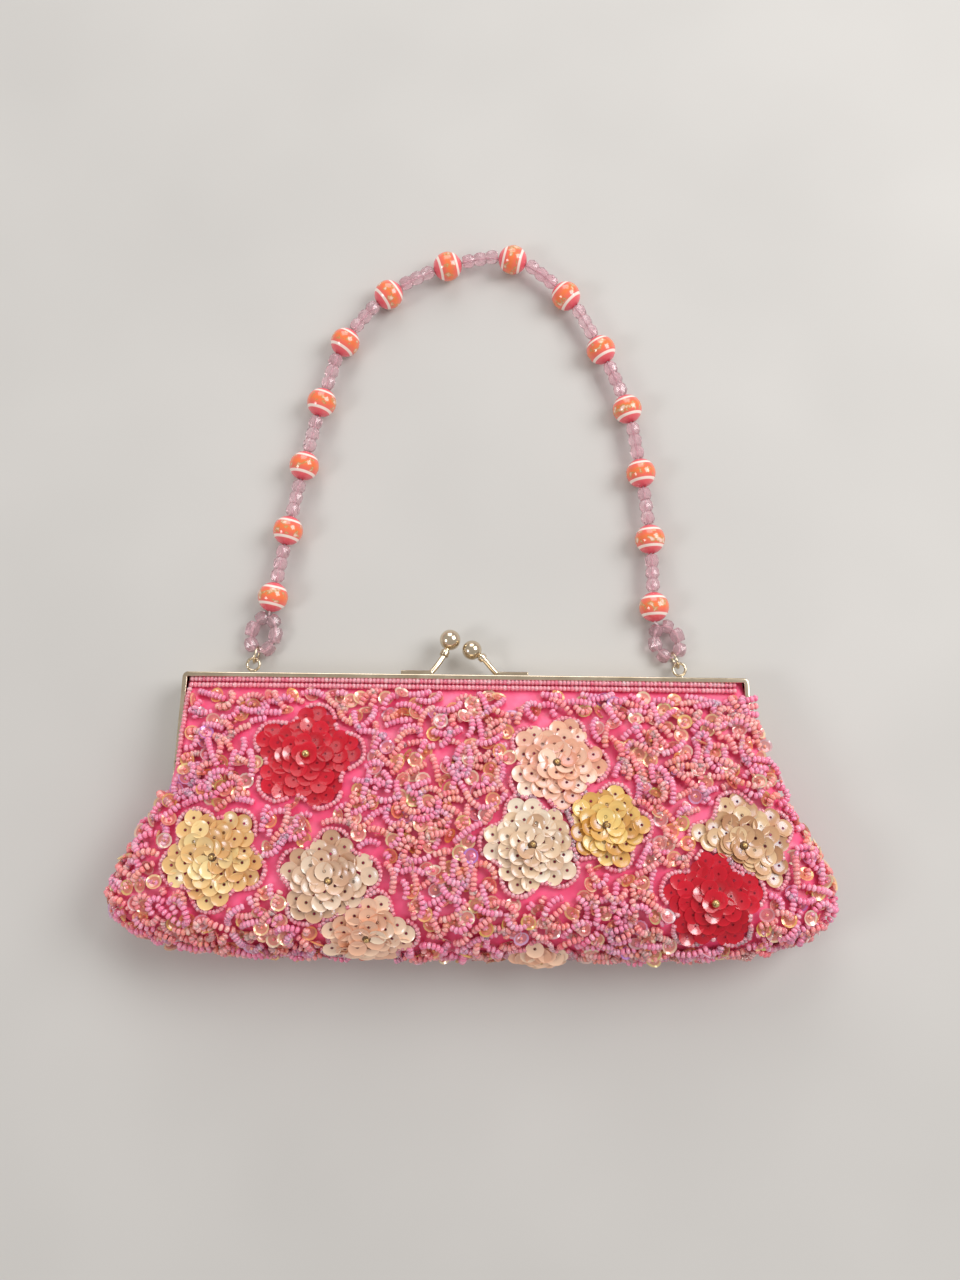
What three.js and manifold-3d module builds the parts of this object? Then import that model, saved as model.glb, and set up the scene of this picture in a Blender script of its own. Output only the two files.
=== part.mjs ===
import * as THREE from 'three';
import { mergeVertices } from 'three/addons/utils/BufferGeometryUtils.js';
import Module from 'manifold-3d';

// A beaded evening clutch with a kiss-lock frame and a bead-string handle, lying on its back.
// Millimetres: X runs along the frame, Y from the base up to the handle, Z up from the surface.
// Sizes are set out from the middle of the frame's top rail.

// Driving dimensions
const GAP = 0.3;

const FRAME_HALF_WIDTH = 91;
const FRAME_CORNER = 1.8;
const FRAME_MIDDLE = 7.2;
const FRAME_HALF_DEPTH = 6;
const FRAME_PARTING = 0.2;
const SHEET = 0.8;
const FRONT_LIP = 1.6;
const INNER_LIP = 4;
const HINGE_DROP = 34;
const ARM_FLARE = 1.3;
const EAR_RADIUS = 3.2;
const EAR_TAB = 4.8;
const EAR_TAB_DEPTH = 5;
const RIVET_RADIUS = 1.2;
const RIVET_HEAD = 2;

const CLASP_FOOT_DEPTH = 3.2;
const CLASP_ARM_WIDTH = 1.8;
const CLASP_ARM_THICKNESS = 1.4;
const CLASP_COLLAR_RADIUS = 1.5;

const MOUTH_HALF_GAP = 2.4;
const CLOTH = 2.5;
const BASE_TURN = -70;
const BASE_DEPTH = 18.4;
const BASE_CORNER = 0.38;
const CAVITY_HALF_WIDTH = 87;

const EYE_SPREAD = 70.2;
const EYE_REACH = 3.8;
const EYE_HEIGHT = 4;
const EYE_RADIUS = 2.05;
const EYE_WIRE = 0.45;
const JUMP_RING_RADIUS = 2.7;
const JUMP_RING_WIRE = 0.4;
const JUMP_RING_HEIGHT = 3.3;
const EYE_TO_LOOP = 2.55;

const ROUND_BEAD_RADIUS = 5;
const ROUND_BEAD_COUNT = 14;
const BORE_RADIUS = 0.85;
const THREAD_RADIUS = 0.45;
const SPACER_RADIUS = 2.35;
const SPACER_END = 1.75;
const SPACERS_BETWEEN = 3;
const BEAD_SLACK = 0.4;
const STRING_SIDES = 8;
const LOOP_HEIGHT = 2.6;
const LOOP_HALF_WIDTH = 4;
const LOOP_TO_BEAD = 6.7;
const LOOP_BARE = 19;
const LOOP_TOP = 176;

const FLOWER_THICKNESS = 1.6;
const PETALS = 5;
const PETAL_NOTCH = 0.26;

// Sections of the pouch from the mouth to the line where the base turns under: y below the rail,
// reach to the left and right, heights of the front face, the back face and the side seam, and how
// square the section is. A back below zero is flattened on the surface that it lies on.
const SECTIONS = [
  { y: -1.2, left: 89.6, right: 89.6, front: 11.8, back: 2.6, seam: 7.2, square: 8.0 },
  { y: -2.2, left: 89.7, right: 89.7, front: 11.9, back: 2.5, seam: 7.2, square: 8.0 },
  { y: -5.0, left: 90.0, right: 90.4, front: 14.0, back: 1.3, seam: 7.5, square: 6.0 },
  { y: -12.0, left: 90.3, right: 93.0, front: 17.5, back: 0.2, seam: 8.2, square: 5.0 },
  { y: -20.0, left: 90.7, right: 94.2, front: 20.6, back: -1.0, seam: 9.4, square: 4.4 },
  { y: -28.0, left: 91.2, right: 96.0, front: 23.2, back: -2.0, seam: 10.5, square: 4.0 },
  { y: -36.0, left: 92.6, right: 99.4, front: 25.3, back: -3.0, seam: 11.4, square: 3.8 },
  { y: -44.0, left: 97.4, right: 104.0, front: 27.0, back: -3.0, seam: 12.2, square: 3.6 },
  { y: -52.0, left: 101.6, right: 109.4, front: 28.3, back: -3.0, seam: 12.7, square: 3.5 },
  { y: -60.0, left: 105.8, right: 113.4, front: 29.0, back: -3.0, seam: 13.0, square: 3.4 },
  { y: BASE_TURN, left: 109.6, right: 115.2, front: 29.2, back: -3.0, seam: 13.0, square: 3.4 },
];

// Soft dents in the front: middle of each, its direction in degrees, half-length, half-width and depth.
const DENTS = [
  { x: -84, y: -30, along: 60, length: 22, width: 7, depth: 1.8 },
  { x: -97, y: -70, along: 25, length: 16, width: 6, depth: 1.6 },
  { x: 6, y: -30, along: 80, length: 26, width: 16, depth: 0.9 },
  { x: 62, y: -34, along: -30, length: 28, width: 10, depth: 1.1 },
  { x: 101, y: -66, along: -40, length: 18, width: 6, depth: 1.6 },
];

// Sequin flowers on the front: middle across the bag, distance down the cloth from the rail, radius,
// turn in degrees and colour. Hold is how much more of the room a flower takes from its neighbours.
const FLOWERS = [
  { name: 'flower_red_upper', x: -48.7, down: 29.3, radius: 16.6, turn: 81, colour: '#c8102a' },
  { name: 'flower_gold_left', x: -75.1, down: 61.1, radius: 15.4, turn: 52, colour: '#e8c880' },
  { name: 'flower_taupe', x: -40.1, down: 67.8, radius: 14.6, turn: 85, colour: '#d8b99a' },
  { name: 'flower_peach_lower', x: -28.6, down: 85.4, radius: 14.4, turn: 78, colour: '#e8b392' },
  { name: 'flower_peach_upper', x: 28.6, down: 30.6, radius: 14.8, turn: 70, colour: '#edc0a0' },
  { name: 'flower_cream', x: 20.9, down: 56.4, radius: 14.8, turn: 105, colour: '#e6d2b4' },
  { name: 'flower_gold_middle', x: 43.4, down: 50.2, radius: 12.6, turn: 72, colour: '#e2b95c' },
  { name: 'flower_beige', x: 84.9, down: 55.8, radius: 15.8, turn: 100, colour: '#e2c896' },
  { name: 'flower_red_lower', x: 75.1, down: 72.8, radius: 15.0, turn: 89, colour: '#c8102a', hold: 2.6 },
  { name: 'flower_peach_base', x: 23.6, down: 96.6, radius: 9.4, turn: 90, colour: '#e8b392' },
];

// Line of the handle as it lies, from its left end over the arch to its right end.
const HANDLE_LINE = [
  [-64.5, 26.3],
  [-55.9, 71.3],
  [-43.1, 116.6],
  [-28.0, 134.5],
  [-8.0, 144.8],
  [14.3, 147.4],
  [32.1, 134.9],
  [44.5, 115.2],
  [53.6, 93.6],
  [60.9, 48.0],
  [62.0, 24.5],
];

// Kiss-lock: each half's soldered foot, the bends of its arm from foot to ball, and its ball.
const CLASPS = {
  front: {
    side: 1, foot: [-21, -11], ball: 3.4,
    bends: [[-11.6, 0.5, 10.4], [-9.4, 3.4, 9.6], [-7.2, 7.2, 8.2], [-5.4, 12.2, 7.2]],
  },
  back: {
    side: -1, foot: [10.4, 20.4], ball: 3.2,
    bends: [[11, 0.5, 4.2], [8.4, 3.2, 5], [5.4, 6.4, 6.4], [1.8, 8.9, 7.2]],
  },
};

const FINISHES = {
  pouch: { color: '#d9508a', roughness: 0.55, metalness: 0 },
  nickel: { color: '#cfc9bd', roughness: 0.22, metalness: 1 },
  striped: { color: '#f06a52', roughness: 0.2, metalness: 0 },
  clear: { color: '#e9a6b8', roughness: 0.1, metalness: 0 },
};

const wasm = await Module();
wasm.setup();

// A closed geometry as a solid for cutting and joining; faces that fold to a line are dropped.
function solid(geometry) {
  const bare = geometry.clone();
  bare.deleteAttribute('normal');
  bare.deleteAttribute('uv');
  const merged = mergeVertices(bare, 1e-4);
  const corners = merged.index.array;
  const triangles = [];
  for (let i = 0; i < corners.length; i += 3) {
    const [a, b, c] = corners.slice(i, i + 3);
    if (a !== b && b !== c && c !== a) triangles.push(a, b, c);
  }
  return new wasm.Manifold(new wasm.Mesh({
    numProp: 3,
    vertProperties: merged.attributes.position.array,
    triVerts: new Uint32Array(triangles),
  }));
}

function geometryOf(body) {
  const { vertProperties, triVerts } = body.getMesh();
  const geometry = new THREE.BufferGeometry();
  geometry.setAttribute('position', new THREE.BufferAttribute(vertProperties, 3));
  geometry.setIndex(new THREE.BufferAttribute(triVerts, 1));
  const flat = geometry.toNonIndexed();
  flat.computeVertexNormals();
  return flat;
}

function joined(bodies) {
  return bodies.reduce((whole, body) => whole.add(body));
}

function piece(name, body, finish) {
  const mesh = new THREE.Mesh(geometryOf(body), new THREE.MeshStandardMaterial(finish));
  mesh.name = name;
  return mesh;
}

function box(low, high) {
  const size = high.map((value, axis) => value - low[axis]);
  const geometry = new THREE.BoxGeometry(...size);
  return solid(geometry.translate(...low.map((value, axis) => value + size[axis] / 2)));
}

// Turns a shape made along +Y to point from one place to another, centred between them.
function aimed(geometry, from, to) {
  const along = to.clone().sub(from).normalize();
  geometry.applyQuaternion(new THREE.Quaternion().setFromUnitVectors(new THREE.Vector3(0, 1, 0), along));
  const middle = from.clone().lerp(to, 0.5);
  return geometry.translate(middle.x, middle.y, middle.z);
}

function rod(from, to, radius, sides) {
  return solid(aimed(new THREE.CylinderGeometry(radius, radius, from.distanceTo(to), sides), from, to));
}

function ring(radius, wire) {
  return new THREE.TorusGeometry(radius, wire, 5, 14);
}

// Frame

function armReach(drop) {
  return FRAME_HALF_WIDTH + ARM_FLARE * drop / HINGE_DROP;
}

// The line of the rail and both arms at a distance in from the outer face.
function frameLine(inset, drop) {
  const radius = Math.max(FRAME_CORNER - inset, 0.05);
  const centre = new THREE.Vector2(-(FRAME_HALF_WIDTH - inset - radius), -(inset + radius));
  const left = [new THREE.Vector2(inset - armReach(drop), -drop)];
  for (const degrees of [180, 135, 90]) {
    const turn = THREE.MathUtils.degToRad(degrees);
    left.push(new THREE.Vector2(Math.cos(turn), Math.sin(turn)).multiplyScalar(radius).add(centre));
  }
  const right = left.map((point) => new THREE.Vector2(-point.x, point.y)).reverse();
  return left.concat(right);
}

// A flat band of the channel, between two distances in from the outer face and two depths.
function frameBand(side, near, far, low, high, drop) {
  const outline = frameLine(near, drop).concat(frameLine(far, drop).reverse());
  const geometry = new THREE.ExtrudeGeometry(new THREE.Shape(outline), {
    depth: high - low,
    bevelEnabled: false,
  });
  const base = side > 0 ? FRAME_MIDDLE + low : FRAME_MIDDLE - high;
  return solid(geometry.translate(0, 0, base));
}

// One half's channel: outer wall, lip over the cloth and inner lip. Grown, it is the room it needs.
function channel(side, grow) {
  const lipDrop = HINGE_DROP - EAR_RADIUS - 1.2;
  const start = FRAME_PARTING - grow;
  const end = FRAME_HALF_DEPTH + grow;
  return joined([
    frameBand(side, -grow, SHEET + grow, start, end, HINGE_DROP),
    frameBand(side, -grow, FRONT_LIP + grow, end - SHEET - 2 * grow, end, lipDrop),
    frameBand(side, -grow, INNER_LIP + grow, start, start + SHEET + 2 * grow, lipDrop),
  ]);
}

function hingeAxis(x) {
  return new THREE.Vector3(x, -HINGE_DROP, FRAME_MIDDLE);
}

function acrossHinge(hand, near, far, radius, sides) {
  return rod(hingeAxis(hand * near), hingeAxis(hand * far), radius, sides);
}

const EAR_OUTER = armReach(HINGE_DROP);
const BACK_EAR_OUTER = EAR_OUTER - SHEET - GAP - FRAME_PARTING;
const BACK_EAR_INNER = BACK_EAR_OUTER - SHEET;
const RIVET_INNER_HEAD = BACK_EAR_INNER - GAP;
const TAB_TOP = -HINGE_DROP + EAR_RADIUS + EAR_TAB;
const TAB_LOW = FRAME_MIDDLE - EAR_TAB_DEPTH;

// A block at one end of the frame, between two distances from the middle of the bag.
function sideBlock(hand, near, far, low, high) {
  const [left, right] = hand > 0 ? [near, far] : [-far, -near];
  return box([left, low[0], low[1]], [right, high[0], high[1]]);
}

function claspArm({ side, foot, bends, ball }) {
  const depth = FRAME_MIDDLE + side * FRAME_HALF_DEPTH / 2;
  const points = bends.map((bend) => new THREE.Vector3(...bend));
  const path = new THREE.CatmullRomCurve3(points);
  const strip = new THREE.Shape();
  strip.absellipse(0, 0, CLASP_ARM_WIDTH / 2, CLASP_ARM_THICKNESS / 2, 0, Math.PI * 2);
  const arm = new THREE.ExtrudeGeometry(strip, {
    steps: 8,
    extrudePath: path,
    curveSegments: 2,
    bevelEnabled: false,
  });
  const tip = points.at(-1);
  const neck = path.getPointAt(0.68);
  const collar = path.getPointAt(0.76);
  return joined([
    box(
      [foot[0], -SHEET / 2, depth - CLASP_FOOT_DEPTH / 2],
      [foot[1], SHEET, depth + CLASP_FOOT_DEPTH / 2],
    ),
    solid(arm),
    rod(neck, collar, CLASP_COLLAR_RADIUS, 10),
    solid(new THREE.SphereGeometry(ball, 12, 8).translate(tip.x, tip.y, tip.z)),
  ]);
}

function eye(hand) {
  const loop = ring(EYE_RADIUS, EYE_WIRE).translate(hand * EYE_SPREAD, EYE_REACH, EYE_HEIGHT);
  const post = box(
    [hand * EYE_SPREAD - 1, -SHEET / 2, EYE_HEIGHT - 0.8],
    [hand * EYE_SPREAD + 1, EYE_REACH - EYE_RADIUS, EYE_HEIGHT + 0.8],
  );
  return solid(loop).add(post);
}

function frameFront() {
  let half = channel(1, 0).add(claspArm(CLASPS.front));
  for (const hand of [-1, 1]) {
    half = half.add(acrossHinge(hand, EAR_OUTER - SHEET, EAR_OUTER, EAR_RADIUS, 16));
    half = half.subtract(acrossHinge(hand, EAR_OUTER - 2, EAR_OUTER + 2, RIVET_RADIUS + GAP, 12));
  }
  return half;
}

function frameBack() {
  let half = channel(-1, 0).add(claspArm(CLASPS.back));
  const stepFoot = -HINGE_DROP + EAR_RADIUS + 1;
  const tabEnd = [TAB_TOP, FRAME_MIDDLE - 2 * FRAME_PARTING];
  for (const hand of [-1, 1]) {
    half = half.subtract(acrossHinge(hand, EAR_OUTER - 1.4, EAR_OUTER + 2, EAR_RADIUS + GAP, 16));
    half = joined([
      half,
      acrossHinge(hand, BACK_EAR_INNER, BACK_EAR_OUTER, EAR_RADIUS, 16),
      sideBlock(hand, BACK_EAR_INNER, BACK_EAR_OUTER, [-HINGE_DROP, TAB_LOW], tabEnd),
      sideBlock(hand, BACK_EAR_INNER, EAR_OUTER - 0.7, [stepFoot, TAB_LOW], tabEnd),
      eye(hand),
    ]);
    half = half.subtract(acrossHinge(hand, BACK_EAR_OUTER - 3, BACK_EAR_OUTER + 3, RIVET_RADIUS + GAP, 12));
  }
  return half;
}

function hingeRivet(hand) {
  const outerHead = EAR_OUTER + GAP;
  return joined([
    acrossHinge(hand, RIVET_INNER_HEAD - SHEET, outerHead + SHEET, RIVET_RADIUS, 12),
    acrossHinge(hand, RIVET_INNER_HEAD - SHEET, RIVET_INNER_HEAD, RIVET_HEAD, 12),
    acrossHinge(hand, outerHead, outerHead + SHEET, RIVET_HEAD, 12),
  ]);
}

// Pouch

// A column of the section table at y, on a smooth curve through its rows.
function sectionValue(column, y) {
  const last = SECTIONS.length - 1;
  const next = SECTIONS.findIndex((row) => row.y <= y);
  const i = next < 0 ? last - 1 : Math.max(next - 1, 0);
  const slope = (k) => {
    const above = SECTIONS[Math.max(k - 1, 0)];
    const below = SECTIONS[Math.min(k + 1, last)];
    return (below[column] - above[column]) / (below.y - above.y);
  };
  const span = SECTIONS[i + 1].y - SECTIONS[i].y;
  const t = THREE.MathUtils.clamp((y - SECTIONS[i].y) / span, 0, 1);
  const rise = t * t * (3 - 2 * t);
  const start = SECTIONS[i][column] * (1 - rise) + SECTIONS[i + 1][column] * rise;
  return start + span * (slope(i) * t * (1 - t) ** 2 - slope(i + 1) * t * t * (1 - t));
}

// The section at a place down the pouch: 0 to 1 runs from the mouth to the base line, 1 to 2 round
// the base, where the heights close as a quarter ellipse and the reach as a squarer one.
function section(place) {
  const mouth = SECTIONS[0].y;
  const y = THREE.MathUtils.lerp(mouth, BASE_TURN, Math.min(place, 1));
  const row = { y };
  for (const column of ['left', 'right', 'front', 'back', 'seam', 'square']) {
    row[column] = sectionValue(column, y);
  }
  if (place > 1) {
    const angle = (place - 1) * Math.PI / 2;
    const close = Math.max(Math.cos(angle), 0);
    row.y = BASE_TURN - BASE_DEPTH * Math.sin(angle);
    row.front = row.seam + (row.front - row.seam) * close;
    row.back = row.seam - (row.seam - row.back) * close;
    row.left *= close ** BASE_CORNER;
    row.right *= close ** BASE_CORNER;
  }
  return row;
}

function dentDepth(x, y) {
  return DENTS.reduce((sum, dent) => {
    const turn = THREE.MathUtils.degToRad(dent.along);
    const dx = x - dent.x;
    const dy = y - dent.y;
    const far = (dx * Math.cos(turn) + dy * Math.sin(turn)) / dent.length;
    const off = (dy * Math.cos(turn) - dx * Math.sin(turn)) / dent.width;
    return sum + dent.depth * Math.exp(-far * far - off * off);
  }, 0);
}

// Height of the front or back face over a point of a section; the back lies flat on a floor.
function faceHeight(row, x, side, floor = 0) {
  const share = Math.min(Math.abs(x) / (x < 0 ? row.left : row.right), 1);
  const crown = (1 - share ** row.square) ** (1 / row.square);
  if (side < 0) return Math.max(row.seam - (row.seam - row.back) * crown, Math.min(floor, row.seam));
  const dent = dentDepth(x, row.y) * crown * THREE.MathUtils.smoothstep(-row.y, 3, 14);
  return row.seam + (row.front - row.seam) * crown - dent;
}

// One ring of the pouch, front face from left to right and back face from right to left.
function sectionRing(row, halfSteps, floor) {
  const points = [];
  for (const side of [1, -1]) {
    for (let k = -halfSteps; k < halfSteps; k += 1) {
      const share = side * Math.sin(k / halfSteps * Math.PI / 2);
      const x = share * (share < 0 ? row.left : row.right);
      points.push(new THREE.Vector3(x, row.y, faceHeight(row, x, side, floor)));
    }
  }
  return points;
}

// A closed skin through rings of equal count: an endless loop, or with a fan at each end.
function skin(rings, endless = false) {
  const count = rings[0].length;
  const middle = (points) => {
    const sum = points.reduce((total, point) => total.add(point), new THREE.Vector3());
    return sum.divideScalar(count);
  };
  const corners = rings.flat();
  const total = corners.length;
  if (!endless) corners.push(middle(rings[0]), middle(rings.at(-1)));
  const faces = [];
  for (let k = 0; k < count; k += 1) {
    const next = (k + 1) % count;
    for (let a = 0; a < (endless ? total : total - count); a += count) {
      const b = (a + count) % total;
      faces.push(a + k, b + k, b + next, a + k, b + next, a + next);
    }
    const tail = total - count;
    if (!endless) faces.push(total, k, next, total + 1, tail + next, tail + k);
  }
  const geometry = new THREE.BufferGeometry().setFromPoints(corners);
  geometry.setIndex(faces);
  return solid(geometry);
}

const WALL_PLACES = SECTIONS.map((row) => (row.y - SECTIONS[0].y) / (BASE_TURN - SECTIONS[0].y));
const BASE_PLACES = [1.2, 1.4, 1.58, 1.74, 1.87, 1.95];

function pouchOutside() {
  return skin([...WALL_PLACES, ...BASE_PLACES].map((place) => sectionRing(section(place), 11, 0)));
}

// The cavity, a cloth's thickness inside the outer face and narrower between the frame's arms.
function pouchInside() {
  const shoulder = -HINGE_DROP - EAR_RADIUS;
  const rows = [...WALL_PLACES, ...BASE_PLACES].map(section);
  const mouth = { ...rows[0], y: 4 };
  const rings = [mouth, ...rows].map((row) => {
    const most = row.y > shoulder ? CAVITY_HALF_WIDTH : Infinity;
    const inner = {
      ...row,
      y: Math.max(row.y, row.y + CLOTH * (BASE_TURN - row.y) / BASE_DEPTH),
      left: Math.min(row.left - CLOTH, most),
      right: Math.min(row.right - CLOTH, most),
      front: row.seam + Math.max(row.front - row.seam - CLOTH, CLOTH / 4),
      back: row.seam - Math.max(row.seam - row.back - CLOTH, CLOTH / 4),
    };
    return sectionRing(inner, 7, CLOTH);
  });
  return skin(rings);
}

// The room outside an arm, below the front lip, that the cloth leaves to the frame.
function besideArm(hand) {
  const foot = HINGE_DROP + EAR_RADIUS + 1;
  const edge = (drop) => hand * (armReach(drop) - SHEET / 2);
  const outline = [[edge(0), 4], [hand * 140, 4], [hand * 140, -foot], [edge(foot), -foot]];
  const shape = new THREE.Shape(outline.map(([x, y]) => new THREE.Vector2(x, y)));
  const high = FRAME_MIDDLE + FRAME_HALF_DEPTH + GAP;
  const geometry = new THREE.ExtrudeGeometry(shape, { depth: high + 4, bevelEnabled: false });
  return solid(geometry.translate(0, 0, -4));
}

function pouch() {
  const slotFoot = -HINGE_DROP - EAR_RADIUS - 2 * GAP;
  let cloth = pouchOutside().subtract(pouchInside());
  cloth = cloth.subtract(box(
    [-130, slotFoot, FRAME_MIDDLE - MOUTH_HALF_GAP],
    [130, 6, FRAME_MIDDLE + MOUTH_HALF_GAP],
  ));
  for (const side of [1, -1]) cloth = cloth.subtract(channel(side, GAP));
  for (const hand of [-1, 1]) {
    cloth = cloth.subtract(besideArm(hand));
    const inner = RIVET_INNER_HEAD - SHEET - GAP;
    cloth = cloth.subtract(acrossHinge(hand, inner, EAR_OUTER + 4, EAR_RADIUS + 2 * GAP, 16));
    const tabFoot = [slotFoot, TAB_LOW - GAP];
    const tabEnd = [TAB_TOP + GAP, FRAME_MIDDLE];
    cloth = cloth.subtract(sideBlock(hand, BACK_EAR_INNER - GAP, EAR_OUTER, tabFoot, tabEnd));
  }
  return cloth;
}

// The front or back panel of the pouch, which are sewn together round the sides and base: the cloth on
// one side of the frame's middle in the mouth and of the side seam below it.
function panel(cloth, side) {
  const shoulder = -HINGE_DROP - EAR_RADIUS - 2 * GAP;
  const below = [-52, -60, BASE_TURN].map((y) => [y, sectionValue('seam', y)]);
  const seam = [[10, FRAME_MIDDLE], [shoulder, FRAME_MIDDLE], ...below, [-110, below.at(-1)[1]]];
  const edge = seam.map(([y, z]) => new THREE.Vector2(y, z + side * GAP / 2));
  const far = side * 60;
  const shape = new THREE.Shape([...edge, new THREE.Vector2(-110, far), new THREE.Vector2(10, far)]);
  const geometry = new THREE.ExtrudeGeometry(shape, { depth: 280, bevelEnabled: false });
  const axes = [new THREE.Vector3(0, 1, 0), new THREE.Vector3(0, 0, 1), new THREE.Vector3(1, 0, 0)];
  geometry.applyMatrix4(new THREE.Matrix4().makeBasis(...axes)).translate(-140, 0, 0);
  return cloth.intersect(solid(geometry));
}

// Flowers

// Distance down the middle of the front and on round the base, against place; past 2 it runs
// up the back again.
const CLOTH_RUN = [];
for (let step = 0; step <= 240; step += 1) {
  const place = step / 80;
  const row = section(place > 2 ? 4 - place : place);
  const z = faceHeight(row, 0, place > 2 ? -1 : 1);
  const before = CLOTH_RUN.at(-1) ?? { y: 0, z, run: 0 };
  CLOTH_RUN.push({ place, y: row.y, z, run: before.run + Math.hypot(row.y - before.y, z - before.z) });
}

function clothPoint(x, down) {
  const i = Math.max(CLOTH_RUN.findIndex((row) => row.run > down), 1);
  const [a, b] = [CLOTH_RUN[i - 1], CLOTH_RUN[i]];
  const place = THREE.MathUtils.lerp(a.place, b.place, (down - a.run) / (b.run - a.run));
  const row = section(place > 2 ? 4 - place : place);
  const base = section(1);
  const wide = place > 1 ? { ...row, left: base.left, right: base.right } : row;
  return new THREE.Vector3(x, row.y, faceHeight(wide, x, place > 2 ? -1 : 1));
}

function clothNormal(x, down) {
  const across = clothPoint(x + 1, down).sub(clothPoint(x - 1, down));
  const along = clothPoint(x, down - 1).sub(clothPoint(x, down + 1));
  return across.cross(along).normalize();
}

// How far a flower may reach in a direction before it meets a neighbour half way.
function roomToward({ x, down, radius, hold = 1 }, heading) {
  const room = FLOWERS.map((other) => {
    const across = other.x - x;
    const away = down - other.down;
    const apart = Math.hypot(across, away);
    const facing = (across * Math.cos(heading) + away * Math.sin(heading)) / apart;
    const share = radius * hold / (radius * hold + other.radius * (other.hold ?? 1));
    return facing > 0 ? (apart * share - 2 * GAP) / facing : Infinity;
  });
  return Math.min(...room);
}

// A lobed plate that follows the cloth just above it.
function flower(row) {
  const { x, down, radius, turn } = row;
  const steps = PETALS * 4;
  const spots = [[0, 0]];
  for (const share of [0.5, 1]) {
    for (let k = 0; k < steps; k += 1) {
      const angle = k / steps * Math.PI * 2;
      const heading = angle + THREE.MathUtils.degToRad(turn);
      const lobe = radius * (1 - PETAL_NOTCH * (0.5 - 0.5 * Math.cos(PETALS * angle)));
      const reach = share * Math.min(lobe, roomToward(row, heading));
      spots.push([Math.cos(heading) * reach, -Math.sin(heading) * reach]);
    }
  }
  const level = (lift) => spots.map(([dx, dd]) => {
    const normal = clothNormal(x + dx, down + dd);
    return clothPoint(x + dx, down + dd).addScaledVector(normal, lift);
  });
  const corners = [...level(2 * GAP + FLOWER_THICKNESS), ...level(2 * GAP)];
  const under = spots.length;
  const faces = [];
  for (let k = 0; k < steps; k += 1) {
    const a = 1 + k;
    const b = 1 + (k + 1) % steps;
    const [c, d] = [a + steps, b + steps];
    for (const [p, q, r] of [[0, a, b], [a, c, d], [a, d, b]]) {
      faces.push(p, q, r, p + under, r + under, q + under);
    }
    faces.push(c, c + under, d + under, c, d + under, d);
  }
  const geometry = new THREE.BufferGeometry().setFromPoints(corners);
  geometry.setIndex(faces);
  return solid(geometry);
}

// Handle

const HANDLE_CURVE = new THREE.CatmullRomCurve3(
  HANDLE_LINE.map(([x, y]) => new THREE.Vector3(x, y, ROUND_BEAD_RADIUS)),
);
const BEAD_PLACES = Array.from({ length: ROUND_BEAD_COUNT }, (_, i) => {
  const share = i / (ROUND_BEAD_COUNT - 1);
  return { centre: HANDLE_CURVE.getPointAt(share), along: HANDLE_CURVE.getTangentAt(share) };
});

function roundBead() {
  const profile = [];
  const mouth = Math.acos(BORE_RADIUS / ROUND_BEAD_RADIUS);
  for (const share of [-1, -0.5, 0, 0.5, 1]) {
    const turn = mouth * share;
    profile.push(new THREE.Vector2(Math.cos(turn), Math.sin(turn)).multiplyScalar(ROUND_BEAD_RADIUS));
  }
  profile.push(profile[0].clone());
  return solid(new THREE.LatheGeometry(profile, 12));
}

// Where a handle end hooks on: the eye, the way to its first round bead, and the places between.
function handleEnd(hand) {
  const place = hand < 0 ? BEAD_PLACES[0] : BEAD_PLACES.at(-1);
  const eyeCentre = new THREE.Vector3(hand * EYE_SPREAD, EYE_REACH, 0);
  const way = place.centre.clone().setZ(0).sub(eyeCentre);
  const along = way.clone().normalize();
  const at = (distance, height) => eyeCentre.clone().addScaledVector(along, distance).setZ(height);
  const loopFoot = EYE_RADIUS + EYE_TO_LOOP;
  const loopTop = way.length() - LOOP_TO_BEAD;
  return {
    along,
    ringCentre: at(EYE_RADIUS + EYE_TO_LOOP / 2, JUMP_RING_HEIGHT),
    loopCentre: at((loopFoot + loopTop) / 2, LOOP_HEIGHT),
    loopTop: at(loopTop, LOOP_HEIGHT),
    loopHalfLength: (loopTop - loopFoot) / 2,
    across: new THREE.Vector3(along.y, -along.x, 0),
  };
}

function jumpRing(hand) {
  const { along, ringCentre } = handleEnd(hand);
  const geometry = ring(JUMP_RING_RADIUS, JUMP_RING_WIRE);
  geometry.rotateX(Math.PI / 2);
  geometry.rotateZ(Math.atan2(along.y, along.x));
  return solid(geometry.translate(ringCentre.x, ringCentre.y, ringCentre.z));
}

// A ring of the string: its radius, set square to the way that the string runs there.
function stringRing(centre, along, radius) {
  const across = new THREE.Vector3(along.y, -along.x, 0).normalize();
  const up = across.clone().cross(along);
  return Array.from({ length: STRING_SIDES }, (_, k) => {
    const turn = (k + 0.5) / STRING_SIDES * Math.PI * 2;
    const offset = across.clone().multiplyScalar(Math.cos(turn)).addScaledVector(up, Math.sin(turn));
    return centre.clone().addScaledVector(offset, radius);
  });
}

// Radii along a run of touching spacer beads, from one end to the other.
const SPACER_RUN = Array.from({ length: 2 * SPACERS_BETWEEN + 1 }, (_, k) => ({
  share: k / (2 * SPACERS_BETWEEN),
  radius: k % 2 ? SPACER_RADIUS : SPACER_END,
}));

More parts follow.
